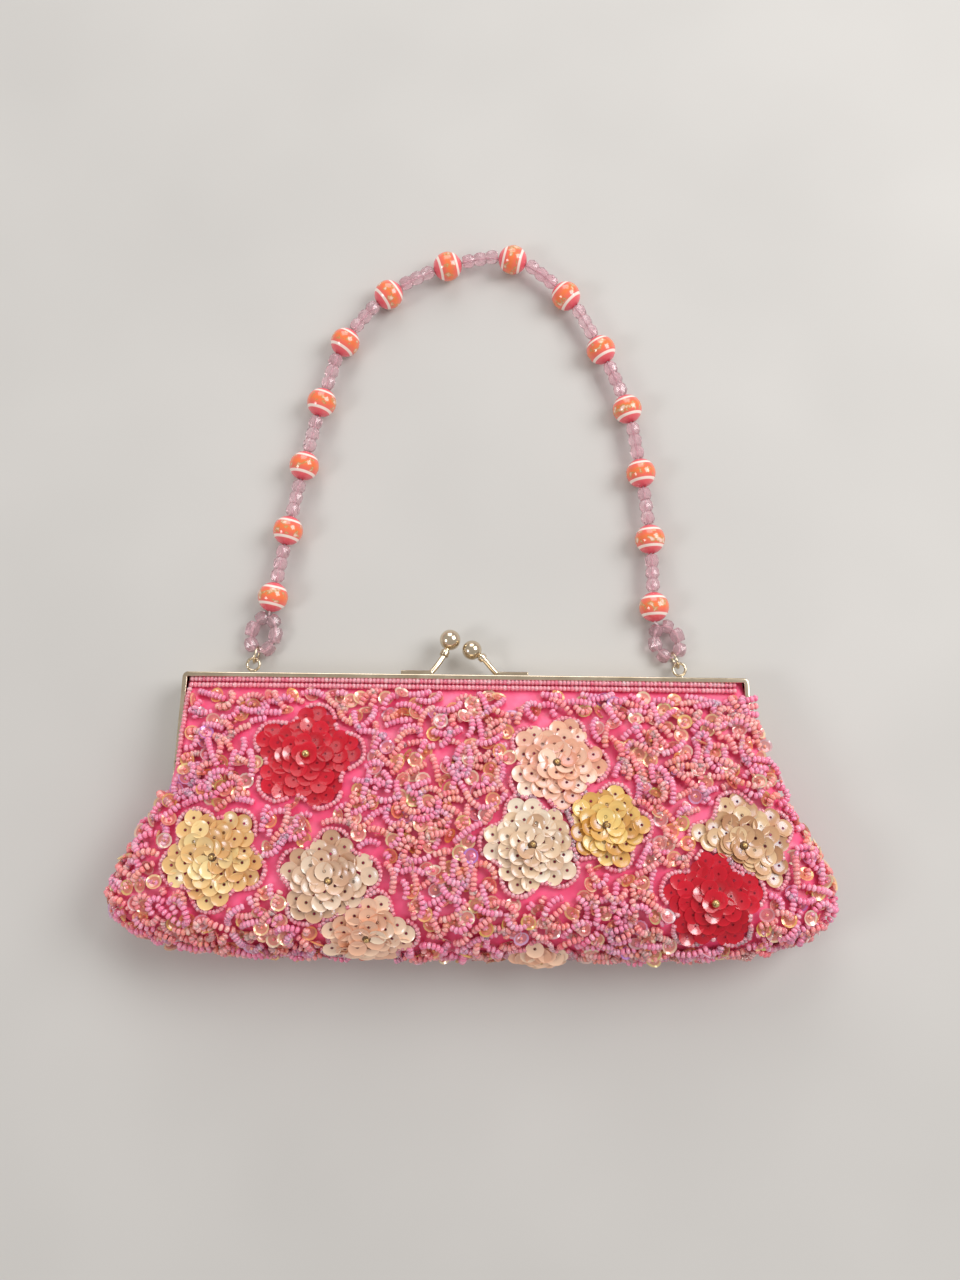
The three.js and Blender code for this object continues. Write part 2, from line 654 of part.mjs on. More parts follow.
// The thread and spacers from one end loop over the arch to the other, bare inside the round beads.
function stringRun() {
  const clear = ROUND_BEAD_RADIUS + BEAD_SLACK;
  const rings = [];
  const start = handleEnd(-1).loopTop;
  const stop = handleEnd(1).loopTop;
  const add = (centre, along, radius) => rings.push(stringRing(centre, along, radius));
  add(start, BEAD_PLACES[0].centre.clone().sub(start).normalize(), THREAD_RADIUS);
  BEAD_PLACES.forEach(({ centre, along }, i) => {
    const enter = centre.clone().addScaledVector(along, -clear);
    const leave = centre.clone().addScaledVector(along, clear);
    add(enter, along, THREAD_RADIUS);
    add(leave, along, THREAD_RADIUS);
    const next = BEAD_PLACES[i + 1];
    if (!next) return;
    const reach = next.centre.clone().addScaledVector(next.along, -clear).sub(leave);
    const heading = reach.clone().normalize();
    for (const { share, radius } of SPACER_RUN) {
      add(leave.clone().addScaledVector(reach, share), heading, radius);
    }
  });
  add(stop, stop.clone().sub(BEAD_PLACES.at(-1).centre).normalize(), THREAD_RADIUS);
  return skin(rings);
}

// An end loop: a run of spacers up each side of an oval, with bare thread at its foot for the
// jump ring.
function endLoop(hand) {
  const { along, across, loopCentre, loopHalfLength } = handleEnd(hand);
  const rings = [];
  const add = (degrees, radius) => {
    const turn = THREE.MathUtils.degToRad(degrees);
    const [sine, cosine] = [Math.sin(turn), Math.cos(turn)];
    const centre = loopCentre.clone().addScaledVector(across, LOOP_HALF_WIDTH * sine);
    centre.addScaledVector(along, -loopHalfLength * cosine);
    const heading = across.clone().multiplyScalar(LOOP_HALF_WIDTH * cosine);
    heading.addScaledVector(along, loopHalfLength * sine).normalize();
    rings.push(stringRing(centre, heading, radius));
  };
  add(0, THREAD_RADIUS);
  for (const [from, to] of [[LOOP_BARE, LOOP_TOP], [360 - LOOP_TOP, 360 - LOOP_BARE]]) {
    add(from, THREAD_RADIUS);
    for (const { share, radius } of SPACER_RUN) add(THREE.MathUtils.lerp(from, to, share), radius);
    add(to, THREAD_RADIUS);
  }
  return skin(rings, true);
}

function beadString() {
  return joined([stringRun(), endLoop(-1), endLoop(1)]);
}

// Assembly

const bag = new THREE.Group();
const cloth = pouch();
bag.add(piece('pouch_front', panel(cloth, 1), FINISHES.pouch));
bag.add(piece('pouch_back', panel(cloth, -1), FINISHES.pouch));
bag.add(piece('frame_front', frameFront(), FINISHES.nickel));
bag.add(piece('frame_back', frameBack(), FINISHES.nickel));
for (const [hand, word] of [[-1, 'left'], [1, 'right']]) {
  bag.add(piece(`hinge_rivet_${word}`, hingeRivet(hand), FINISHES.nickel));
  bag.add(piece(`jump_ring_${word}`, jumpRing(hand), FINISHES.nickel));
}
for (const row of FLOWERS) {
  bag.add(piece(row.name, flower(row), { color: row.colour, roughness: 0.25, metalness: 0 }));
}
const bead = roundBead();
BEAD_PLACES.forEach(({ centre, along }, i) => {
  const mesh = piece(`bead_round_${String(i + 1).padStart(2, '0')}`, bead, FINISHES.striped);
  mesh.position.copy(centre);
  mesh.quaternion.setFromUnitVectors(new THREE.Vector3(0, 1, 0), along);
  bag.add(mesh);
});
bag.add(piece('bead_string', beadString(), FINISHES.clear));

// The origin is under the middle of the bag's box, on the surface.
const extent = new THREE.Box3().setFromObject(bag, true);
const middle = extent.getCenter(new THREE.Vector3());
bag.position.set(-middle.x, -middle.y, -extent.min.z);

const handbag = new THREE.Group();
handbag.add(bag);

export default handbag;
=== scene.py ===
"""A pink beaded evening clutch with a kiss-lock frame and a bead-string handle, lying on its back.

Sizes are in millimetres. Places are in bag coordinates until a mesh is made: x along the rail from its
middle, y up from the rail's outer face towards the handle, z up from the surface that the bag lies on.
"""

import bmesh
import bpy
import numpy as np
from mathutils import Matrix, Vector


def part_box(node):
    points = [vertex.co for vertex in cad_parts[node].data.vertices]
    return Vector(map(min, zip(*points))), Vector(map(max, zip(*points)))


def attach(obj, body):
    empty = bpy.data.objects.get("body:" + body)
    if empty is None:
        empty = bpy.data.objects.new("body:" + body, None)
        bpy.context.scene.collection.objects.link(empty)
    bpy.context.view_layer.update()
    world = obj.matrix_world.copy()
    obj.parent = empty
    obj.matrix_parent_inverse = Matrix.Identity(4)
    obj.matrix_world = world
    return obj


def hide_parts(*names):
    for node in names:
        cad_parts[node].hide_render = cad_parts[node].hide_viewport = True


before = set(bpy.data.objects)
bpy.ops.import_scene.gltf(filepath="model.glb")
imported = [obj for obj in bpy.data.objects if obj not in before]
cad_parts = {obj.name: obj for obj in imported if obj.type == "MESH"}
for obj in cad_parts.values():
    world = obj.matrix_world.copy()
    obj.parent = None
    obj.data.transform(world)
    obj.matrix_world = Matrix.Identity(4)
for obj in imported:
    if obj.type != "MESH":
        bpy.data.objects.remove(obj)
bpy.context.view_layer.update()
MM = 0.001

# Camera
# The photograph looks down on the bag from a little beyond its base, with a phone's short lens. Bag
# coordinates start at the middle of the frame's rail, which stands over the hinges.
HINGE_DROP = 34
PHOTO_LONG_SIDE_PX = 1280
FOCAL_PX = 1150
CAMERA_PLACE = np.array([4.4, -49.97, 379.3])
CAMERA_TILT = np.radians(9.5)
CAMERA_ROLL = np.radians(0.7)

frame_low, frame_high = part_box("frame_front")
rivet_low, rivet_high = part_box("hinge_rivet_left")
rail_y = (rivet_low.y + rivet_high.y) / 2 / MM + HINGE_DROP
BAG = np.array([(frame_low.x + frame_high.x) / 2 / MM, rail_y, 0.0])

level_right = np.array([1.0, 0.0, 0.0])
level_up = np.array([0.0, np.cos(CAMERA_TILT), np.sin(CAMERA_TILT)])
backwards = np.array([0.0, -np.sin(CAMERA_TILT), np.cos(CAMERA_TILT)])
stand = np.eye(4)
stand[:3, 0] = np.cos(CAMERA_ROLL) * level_right + np.sin(CAMERA_ROLL) * level_up
stand[:3, 1] = np.cos(CAMERA_ROLL) * level_up - np.sin(CAMERA_ROLL) * level_right
stand[:3, 2] = backwards
stand[:3, 3] = (BAG + CAMERA_PLACE) * MM

camera = bpy.data.objects.new("photo_camera", bpy.data.cameras.new("photo_camera"))
camera.data.lens = camera.data.sensor_width * FOCAL_PX / PHOTO_LONG_SIDE_PX
camera.data.clip_start = 0.01
camera.matrix_world = Matrix(stand.tolist())
bpy.context.scene.collection.objects.link(camera)
bpy.context.scene.camera = camera

# Floor and light
# A plain pale floor in soft daylight: a wide window at the right, weaker ones beyond the handle and at
# the left, and an even room around them. Colours are shown as they are, without a film curve.
FLOOR_SIZE = 4000
WINDOWS = {
    "right_window": {"place": np.array([640.0, 260.0, 680.0]), "size": 520, "power": 5.8},
    "far_window": {"place": np.array([-60.0, 900.0, 620.0]), "size": 700, "power": 4.2},
    "left_window": {"place": np.array([-700.0, -260.0, 620.0]), "size": 260, "power": 1.8},
}
ROOM_COLOUR = "#f6f1ec"
ROOM_STRENGTH = 0.52
LIT_PLACE = np.array([0.0, -60.0, 10.0])
# How many features a texture of scale 1 has in a metre.
TEXTURE_DENSITY = {"Noise": 1, "Wave": 3.2}


def linear(hex_colour):
    """An sRGB hex colour as linear red, green and blue, with an alpha of 1."""
    channels = np.array([int(hex_colour[i:i + 2], 16) for i in (1, 3, 5)]) / 255
    curved = ((channels + 0.055) / 1.055) ** 2.4
    return (*np.where(channels <= 0.04045, channels / 12.92, curved), 1.0)


def add_node(tree, kind, values=None, links=None, stops=None, **settings):
    """Adds a node: settings are its own properties, values go into its sockets, links come from other
    nodes' sockets, and stops are the places and colours of a ramp."""
    node = tree.nodes.new(kind)
    for name, setting in settings.items():
        setattr(node, name, setting)
    for socket, value in (values or {}).items():
        node.inputs[socket].default_value = value
    for socket, source in (links or {}).items():
        tree.links.new(source, node.inputs[socket])
    for i, (place, colour) in enumerate(stops or ()):
        stop = node.color_ramp.elements[i] if i < 2 else node.color_ramp.elements.new(place)
        stop.position = place
        stop.color = linear(colour)
    return node


def new_material(name, **sockets):
    """A material with its one shader, whose even values are set straight on the shader's sockets."""
    material = bpy.data.materials.new(name)
    material.use_nodes = True
    shader = material.node_tree.nodes["Principled BSDF"]
    for socket, value in sockets.items():
        shader.inputs[socket.replace("_", " ")].default_value = value
    return material, material.node_tree, shader


def feed(tree, shader, **sources):
    """Links the sockets of a shader to what varies over its surface."""
    for socket, source in sources.items():
        tree.links.new(source, shader.inputs[socket.replace("_", " ")])


def texture(tree, kind, size, values=None, **settings):
    """A noise or wave texture fixed to the bag, whose features have a size in millimetres."""
    place = add_node(tree, "ShaderNodeTexCoord")
    values = {"Scale": 1 / (size * MM) / TEXTURE_DENSITY[kind], **(values or {})}
    links = {"Vector": place.outputs["Object"]}
    return add_node(tree, f"ShaderNodeTex{kind}", values, links, **settings).outputs["Fac"]


def ramp(tree, source, *stops):
    """Colours at places from 0 to 1 along a source."""
    return add_node(tree, "ShaderNodeValToRGB", links={"Fac": source}, stops=stops).outputs["Color"]


def soft_window(name, place, size, power):
    """A square lamp that faces the bag."""
    lamp = bpy.data.lights.new(name, "AREA")
    lamp.size = size * MM
    lamp.energy = power
    light = bpy.data.objects.new(name, lamp)
    light.location = place * MM
    light.rotation_mode = "QUATERNION"
    light.rotation_quaternion = Vector(LIT_PLACE - place).to_track_quat("-Z", "Y")
    bpy.context.scene.collection.objects.link(light)


for name, window in WINDOWS.items():
    soft_window(name, **window)
room = bpy.data.worlds.new("soft_room")
room.use_nodes = True
room.node_tree.nodes["Background"].inputs["Color"].default_value = linear(ROOM_COLOUR)
room.node_tree.nodes["Background"].inputs["Strength"].default_value = ROOM_STRENGTH
bpy.context.scene.world = room
bpy.context.scene.view_settings.view_transform = "Standard"

# Painted board: matt, with the faintest mottle.
board, tree, shader = new_material("matt_painted_board", Roughness=0.9)
mottle = texture(tree, "Noise", size=90)
feed(tree, shader, Base_Color=ramp(tree, mottle, (0.3, "#c3c1be"), (0.7, "#c9c7c4")))

half_floor = FLOOR_SIZE / 2 * MM
floor_mesh = bpy.data.meshes.new("floor")
floor_corners = [(x * half_floor, y * half_floor, 0) for x, y in ((-1, -1), (1, -1), (1, 1), (-1, 1))]
floor_mesh.from_pydata(floor_corners, [], [(0, 1, 2, 3)])
floor_mesh.materials.append(board)
floor = bpy.data.objects.new("floor", floor_mesh)
bpy.context.scene.collection.objects.link(floor)

# Kiss-lock frame
# Two halves of nickel-plated brass channel that meet along the mouth and turn on rivets at the foot of
# their arms. Each half has one curved arm with a ball soldered on, and the back half two wire eyes.
FRAME_HALF_WIDTH = 91
FRAME_CORNER = 1.8
CORNER_LEAST = 0.05
FRAME_MIDDLE = 7.2
FRAME_HALF_DEPTH = 6
FRAME_TOP = FRAME_MIDDLE + FRAME_HALF_DEPTH
FRAME_PARTING = 0.2
SHEET = 0.8
FRONT_LIP = 1.6
INNER_LIP = 4
CHANNEL_EDGE = 0.38
ARM_FLARE = 1.3
LIP_DROP = 29.6
EAR_RADIUS = 3.2
EAR_HOLE = 1.5
EAR_EDGE = 0.2
EAR_CLEARANCE = 0.3
EAR_OUTER = FRAME_HALF_WIDTH + ARM_FLARE
BACK_EAR_OUTER = FRAME_HALF_WIDTH
WALL_EDGE = 0.15
WALL_INSET = 0.1
WALL_OVERLAP = 1
TAB_RISE = 4.8
TAB_DEPTH = 5
EYE_SPREAD = 70.2
EYE_REACH = 3.8
EYE_HEIGHT = 4
EYE_RADIUS = 2.05
EYE_WIRE = 0.45
POST_HALF_WIDTH = 1
POST_HALF_DEPTH = 0.8
CLASPS = {
    1: {
        "foot": (-21, -11), "foot_top": 1.4, "ball": 3.4,
        "bends": [(-11.6, 0.5, 10.4), (-9.4, 3.4, 9.6), (-7.2, 7.2, 8.2), (-5.4, 12.2, 7.2)],
    },
    -1: {
        "foot": (10.4, 20.4), "foot_top": 2.1, "ball": 3.2,
        "bends": [(11, 0.5, 4.2), (8.4, 3.2, 5), (5.4, 6.4, 6.4), (1.8, 8.9, 7.2)],
    },
}
FOOT_HALF_DEPTH = 1.6
ARM_HALF_WIDTH = 0.9
ARM_HALF_THICKNESS = 0.7
COLLAR_CORE = 0.2
COLLAR_RADIUS = 1.5
COLLAR_EDGE = 0.35
COLLAR_PLACE = (0.66, 0.77)
WELD_DISTANCE = 0.001
UP = np.array([0.0, 0.0, 1.0])


def unit(vectors):
    return vectors / np.linalg.norm(vectors, axis=-1, keepdims=True)


def full_turn(steps):
    return np.linspace(0, 2 * np.pi, steps, endpoint=False)


def grid_faces(rows, columns, round_rows=False, round_columns=False, flip=False):
    """Quads of a grid of points numbered row by row. A round way joins its last line to its first."""
    row = np.arange(rows if round_rows else rows - 1)[:, None]
    column = np.arange(columns if round_columns else columns - 1)
    next_row = (row + 1) % rows
    next_column = (column + 1) % columns
    corners = [
        row * columns + column,
        row * columns + next_column,
        next_row * columns + next_column,
        next_row * columns + column,
    ]
    quads = np.stack(np.broadcast_arrays(*corners), -1).reshape(-1, 4)
    return quads[:, ::-1] if flip else quads


def capped(grid):
    """A closed shape from rows of points that run round, with a flat face over its first and last row."""
    rows, columns, _ = grid.shape
    ends = np.stack([np.arange(columns)[::-1], np.arange(columns) + columns * (rows - 1)])
    return grid.reshape(-1, 3), [grid_faces(rows, columns, round_columns=True), ends]


def joined(*parts):
    """Several shapes, each its points and its sets of faces, as one."""
    starts = np.cumsum([0] + [len(points) for points, _ in parts])
    faces = [corners + start for (_, sets), start in zip(parts, starts) for corners in sets]
    return np.concatenate([points for points, _ in parts]), faces


def put_piece(name, shape, material, weld=False, crease=None):
    """A piece of the bag from points in bag coordinates. Welding joins doubled points and turns the faces
    outwards, and a crease angle in degrees keeps sharper edges hard."""
    points, face_sets = shape
    corners = np.concatenate([faces.ravel() for faces in face_sets])
    sizes = np.concatenate([np.full(len(faces), faces.shape[1]) for faces in face_sets])
    mesh = bpy.data.meshes.new(name)
    mesh.vertices.add(len(points))
    mesh.vertices.foreach_set("co", ((points + BAG) * MM).astype(np.float32).ravel())
    mesh.loops.add(len(corners))
    mesh.loops.foreach_set("vertex_index", corners.astype(np.int32))
    mesh.polygons.add(len(sizes))
    mesh.polygons.foreach_set("loop_start", (np.cumsum(sizes) - sizes).astype(np.int32))
    mesh.polygons.foreach_set("use_smooth", np.full(len(sizes), crease != 0))
    mesh.update(calc_edges=True)
    mesh.validate()
    if weld:
        cleaned = bmesh.new()
        cleaned.from_mesh(mesh)
        bmesh.ops.remove_doubles(cleaned, verts=cleaned.verts, dist=WELD_DISTANCE * MM)
        bmesh.ops.recalc_face_normals(cleaned, faces=cleaned.faces)
        cleaned.to_mesh(mesh)
        cleaned.free()
    if crease:
        mesh.set_sharp_from_angle(angle=np.radians(crease))
    mesh.materials.append(material)
    piece = bpy.data.objects.new(name, mesh)
    bpy.context.scene.collection.objects.link(piece)
    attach(piece, "root")
    return piece


def rounded(corners, radius, steps=4):
    """A closed outline with each corner turned by a curve that starts and ends a radius away from it."""
    corners = np.asarray(corners, float)
    start = corners + radius * unit(np.roll(corners, 1, 0) - corners)
    end = corners + radius * unit(np.roll(corners, -1, 0) - corners)
    t = np.linspace(0, 1, steps)[:, None]
    turned = [(1 - t) ** 2 * a + 2 * t * (1 - t) * b + t * t * c for a, b, c in zip(start, corners, end)]
    return np.concatenate(turned)


def frame_line(inset, drop):
    """Plan of the rail and both arms at distances in from the outer face: up the left arm, round its
    corner as a quarter circle, along the rail, and down the right arm as the left one's mirror."""
    radius = np.maximum(FRAME_CORNER - inset, CORNER_LEAST)
    turn = np.radians(np.linspace(180, 90, 7))[:, None]
    corner_x = radius * np.cos(turn) - (FRAME_HALF_WIDTH - inset - radius)
    corner_y = radius * np.sin(turn) - (inset + radius)
    foot_x = inset - (FRAME_HALF_WIDTH + ARM_FLARE * drop / HINGE_DROP)
    x = np.concatenate([foot_x[None], corner_x])
    y = np.concatenate([np.full((1, len(inset)), -drop), corner_y])
    return np.concatenate([x, -x[::-1]]), np.concatenate([y, y[::-1]])


def channel(side):
    """One half's channel: a rounded outline of outer wall, front lip and inner lip, carried along the
    frame's line and closed at both ends."""
    top = FRAME_HALF_DEPTH
    outline = rounded([
        (0, FRAME_PARTING), (0, top), (FRONT_LIP, top), (FRONT_LIP, top - SHEET), (SHEET, top - SHEET),
        (SHEET, FRAME_PARTING + SHEET), (INNER_LIP, FRAME_PARTING + SHEET), (INNER_LIP, FRAME_PARTING),
    ], CHANNEL_EDGE)
    x, y = frame_line(outline[:, 0], LIP_DROP)
    z = np.broadcast_to(FRAME_MIDDLE + side * outline[:, 1], x.shape)
    return capped(np.stack([x, y, z], -1))


def block(low, high, radius=0.25):
    """A plate between two corners, with its outline rounded in plan and its top and base edges eased."""
    low = np.asarray(low, float)
    high = np.asarray(high, float)
    plan = rounded([(low[0], low[1]), (high[0], low[1]), (high[0], high[1]), (low[0], high[1])], radius)
    middle = (low[:2] + high[:2]) / 2
    eased = middle + (plan - middle) * (1 - radius / (high[:2] - low[:2]))
    levels = [(eased, low[2]), (plan, low[2] + radius / 2), (plan, high[2] - radius / 2), (eased, high[2])]
    return capped(np.stack([np.column_stack([flat, np.full(len(flat), z)]) for flat, z in levels]))


def lathe(profile, centre, axis, sides, closed=False):
    """A profile of distances from an axis and heights along it, turned about the axis through a centre."""
    profile = np.asarray(profile, float)
    axis = unit(np.asarray(axis, float))
    across = unit(np.cross(axis, np.eye(3)[np.abs(axis).argmin()]))
    turn = full_turn(sides)[:, None]
    spokes = np.cos(turn) * across + np.sin(turn) * np.cross(axis, across)
    points = centre + profile[:, :1, None] * spokes + profile[:, 1:, None] * axis
    return points.reshape(-1, 3), [grid_faces(len(profile), sides, closed, True)]


def ball(radius, centre, axis=UP, rings=20, sides=32):
    turn = np.linspace(-np.pi / 2, np.pi / 2, rings)
    return lathe(radius * np.column_stack([np.cos(turn), np.sin(turn)]), centre, axis, sides)


def wire_ring(radius, wire, centre, axis):
    turn = full_turn(12)
    section = np.column_stack([radius + wire * np.cos(turn), wire * np.sin(turn)])
    return lathe(section, centre, axis, 40, closed=True)


def tube(path, half_width, half_thickness, sides=14, endless=False):
    """An ellipse carried along a path, with its width lying level and square to the path."""
    if endless:
        along = unit(np.roll(path, -1, 0) - np.roll(path, 1, 0))
    else:
        along = unit(np.gradient(path, axis=0))
    wide = unit(np.cross(along, UP))
    thick = np.cross(wide, along)
    turn = full_turn(sides)[:, None]
    spokes = half_width * np.cos(turn) * wide[:, None] + half_thickness * np.sin(turn) * thick[:, None]
    grid = path[:, None] + spokes
    if endless:
        return grid.reshape(-1, 3), [grid_faces(len(path), sides, True, True)]
    return capped(grid)


def cubic(start, end, leaving, arriving, t):
    """A cubic from a start to an end with its slopes at both."""
    rise = t * t * (3 - 2 * t)
    return start * (1 - rise) + end * rise + leaving * t * (1 - t) ** 2 - arriving * t * t * (1 - t)


def smooth_path(points, steps):
    """A cubic through each pair of points, whose slopes run between the points either side of them."""
    points = np.asarray(points, float)
    slope = np.gradient(points, axis=0)
    t = np.linspace(0, 1, steps, endpoint=False)[:, None]
    spans = zip(points[:-1], points[1:], slope[:-1], slope[1:])
    return np.concatenate([*(cubic(*span, t) for span in spans), points[-1:]])


def clasp(side):
    """A foot plate on the rail, an oval arm that rises from it, a collar near its end and the ball."""
    held = CLASPS[side]
    depth = FRAME_MIDDLE + side * FRAME_HALF_DEPTH / 2
    path = smooth_path(held["bends"], 8)
    low, high = (path[int(share * (len(path) - 1))] for share in COLLAR_PLACE)
    length = np.linalg.norm(high - low)
    corners = [(COLLAR_CORE, 0), (COLLAR_RADIUS, 0), (COLLAR_RADIUS, length), (COLLAR_CORE, length)]
    (left, right), top = held["foot"], held["foot_top"]
    return joined(
        block((left, -SHEET / 2, depth - FOOT_HALF_DEPTH), (right, top, depth + FOOT_HALF_DEPTH)),
        tube(path, ARM_HALF_WIDTH, ARM_HALF_THICKNESS),
        lathe(rounded(corners, COLLAR_EDGE), low, high - low, 24, closed=True),
        ball(held["ball"], np.array(held["bends"][-1])),
    )


def ear(hand, outer):
    """A round ear at the foot of an arm, with a hole for its rivet."""
    outline = rounded([(EAR_HOLE, 0), (EAR_RADIUS, 0), (EAR_RADIUS, SHEET), (EAR_HOLE, SHEET)], EAR_EDGE)
    return lathe(outline, (hand * outer, -HINGE_DROP, FRAME_MIDDLE), (-hand, 0, 0), 32, closed=True)


def wall(hand, outer, low, high):
    """A sheet at one end of the frame, under an outer face, between two places along and up the arm."""
    left, right = (outer - SHEET, outer) if hand > 0 else (-outer, SHEET - outer)
    return block((left, *low), (right, *high), WALL_EDGE)


# Bright nickel plate: a mirror with a warm grey cast, dulled a little where it has been handled.
nickel, tree, shader = new_material("bright_nickel_plate", Metallic=1.0)
handled = texture(tree, "Noise", size=7, values={"Detail": 4.0})
dulled = add_node(tree, "ShaderNodeMapRange", {"To Min": 0.1, "To Max": 0.24}, {"Value": handled})
warm = ramp(tree, handled, (0.3, "#cebda3"), (0.7, "#eadbc3"))
feed(tree, shader, Base_Color=warm, Roughness=dulled.outputs["Result"])

wall_low = (-HINGE_DROP, FRAME_MIDDLE + FRAME_PARTING)
wall_high = (WALL_OVERLAP - LIP_DROP, FRAME_TOP)
tab_low = (-HINGE_DROP, FRAME_MIDDLE - TAB_DEPTH)
tab_high = (EAR_RADIUS + TAB_RISE - HINGE_DROP, FRAME_MIDDLE - 2 * FRAME_PARTING)
post_low = (-SHEET / 2, EYE_HEIGHT - POST_HALF_DEPTH)
post_high = (EYE_REACH - EYE_RADIUS, EYE_HEIGHT + POST_HALF_DEPTH)
front_parts = [channel(1), clasp(1)]
back_parts = [channel(-1), clasp(-1)]
for hand in (-1, 1):
    eye_x = hand * EYE_SPREAD
    front_parts += [ear(hand, EAR_OUTER), wall(hand, EAR_OUTER - WALL_INSET, wall_low, wall_high)]
    back_parts += [
        ear(hand, BACK_EAR_OUTER),
        wall(hand, BACK_EAR_OUTER, tab_low, tab_high),
        wire_ring(EYE_RADIUS, EYE_WIRE, (eye_x, EYE_REACH, EYE_HEIGHT), UP),
        block((eye_x - POST_HALF_WIDTH, *post_low), (eye_x + POST_HALF_WIDTH, *post_high)),
    ]
front_half = put_piece("front_frame_half", joined(*front_parts), nickel, weld=True, crease=40)
back_half = put_piece("back_frame_half", joined(*back_parts), nickel, weld=True, crease=40)
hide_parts("frame_front")
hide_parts("frame_back")

# Hinge rivets
# Solid nickel-plated rivets through the ears, with low domed heads turned over both sides.
RIVET_RADIUS = 1.2
RIVET_HEAD = 2
RIVET_HEAD_HEIGHT = 0.8
RIVET_DOME = ((0, 0), (1.2, 0.1), (RIVET_HEAD, 0.5))
RIVET_INNER = 89.1
RIVET_OUTER = EAR_OUTER + RIVET_HEAD_HEIGHT + EAR_CLEARANCE

rivet_length = RIVET_OUTER - RIVET_INNER
rivet_end = [*RIVET_DOME, (RIVET_HEAD, RIVET_HEAD_HEIGHT), (RIVET_RADIUS, RIVET_HEAD_HEIGHT)]
rivet_profile = rivet_end + [(radius, rivet_length - height) for radius, height in reversed(rivet_end)]
for hand, word in ((-1, "left"), (1, "right")):
    rivet = lathe(rivet_profile, (hand * RIVET_INNER, -HINGE_DROP, FRAME_MIDDLE), (hand, 0, 0), 24)
    piece = put_piece(f"hinge_rivet_head_{word}", rivet, nickel, weld=True, crease=50)
    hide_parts(f"hinge_rivet_{word}")

# Satin pouch
# A soft lined pouch of hot pink satin, sewn into the channels of the frame and closed round the base.
# It lies under the beadwork on the front, and is bare on the back that it rests on.
SECTION_COLUMNS = ("y", "left", "right", "front", "back", "seam", "square")
SECTIONS = np.array([
    (-1.2, 89.6, 89.6, 11.8, 2.6, 7.2, 8.0),
    (-2.2, 89.7, 89.7, 11.9, 2.5, 7.2, 8.0),
    (-5.0, 90.0, 90.4, 14.0, 1.3, 7.5, 6.0),
    (-12.0, 90.3, 93.0, 17.5, 0.2, 8.2, 5.0),
    (-20.0, 90.7, 94.2, 20.6, -1.0, 9.4, 4.4),
    (-28.0, 91.2, 96.0, 23.2, -2.0, 10.5, 4.0),
    (-36.0, 92.6, 99.4, 25.3, -3.0, 11.4, 3.8),
    (-44.0, 97.4, 104.0, 27.0, -3.0, 12.2, 3.6),
    (-52.0, 101.6, 109.4, 28.3, -3.0, 12.7, 3.5),
    (-60.0, 105.8, 113.4, 29.0, -3.0, 13.0, 3.4),
    (-70.0, 109.6, 115.2, 29.2, -3.0, 13.0, 3.4),
])
MOUTH_Y, BASE_TURN = SECTIONS[0, 0], SECTIONS[-1, 0]
BASE_DEPTH = 18.4
BASE_CORNER = 0.38
BASE_EDGE = 0.03
# Soft dents in the front: middle, direction in degrees, half-length, half-width and depth. They fade in
# between two distances down from the rail.
DENTS = [
    (-84, -30, 60, 22, 7, 1.8),
    (-97, -70, 25, 16, 6, 1.6),
    (6, -30, 80, 26, 16, 0.9),
    (62, -34, -30, 28, 10, 1.1),
    (101, -66, -40, 18, 6, 1.6),
]
DENT_FADE = (3, 14)
# Heights over the front lip, and how far past the arm's outer face the cloth may reach at each. Below the
# hinges it comes free between two distances.
LIP_HEIGHTS = np.array([-1.6, -1, 0.2, 3])
LIP_ROOM = (-1, -1.95, -1.95, 8)
FREE_FADE = (3, 10)
FREE_ROOM = 30
# The satin lies this far under the solid's surface: deep where beads cover it, and thin at the mouth, on
# the bare back and beside the arms.
BEADWORK_DEPTH = 1.7
BARE_DEPTH = 0.15
BARE_FADE = (2, 14)
MOUTH_SHARE = 0.2
MOUTH_FADE = (1.2, 6)
ARM_THINNING = 0.9
ARM_BAND = (84, 89)
ARM_FADE = (0, 8)
PUCKER = 0.3
PUCKER_WAVES = ((3.1, 5.3), (-8.9, 3.7))
PUCKER_FADE = (6, 14)
PUCKER_BACK_FADE = (0, 8)
ROWS = 110
HALF_COLUMNS = 190
COLUMNS = 2 * HALF_COLUMNS
FINE_ROWS = 500
FINE_COLUMNS = 241
SLOT_HALF_GAP = 2.4
SLOT_FOOT = -HINGE_DROP - EAR_RADIUS - EAR_CLEARANCE


def smooth(value, low, high):
    """0 below the low value and 1 above the high one, with a smooth rise between them."""
    t = np.clip((value - low) / (high - low), 0, 1)
    return t * t * (3 - 2 * t)


def section_value(column, y):
    """A column of the section table at y, on cubics through its rows whose slopes run between the rows
    either side."""
    at = SECTIONS[:, 0]
    held = SECTIONS[:, SECTION_COLUMNS.index(column)]
    above = np.maximum(np.arange(len(at)) - 1, 0)
    below = np.minimum(np.arange(len(at)) + 1, len(at) - 1)
    slope = (held[below] - held[above]) / (at[below] - at[above])
    i = np.clip(np.searchsorted(-at, -y, side="right") - 1, 0, len(at) - 2)
    span = at[i + 1] - at[i]
    t = np.clip((y - at[i]) / span, 0, 1)
    return cubic(held[i], held[i + 1], span * slope[i], span * slope[i + 1], t)


def dent_depth(x, y):
    """Sum of the dents, each a bell that falls off along and across its own direction."""
    total = np.zeros(np.broadcast(x, y).shape)
    for dent_x, dent_y, degrees, length, width, depth in DENTS:
        turn = np.radians(degrees)
        far = ((x - dent_x) * np.cos(turn) + (y - dent_y) * np.sin(turn)) / length
        off = ((y - dent_y) * np.cos(turn) - (x - dent_x) * np.sin(turn)) / width
        total += depth * np.exp(-far ** 2 - off ** 2)
    return total


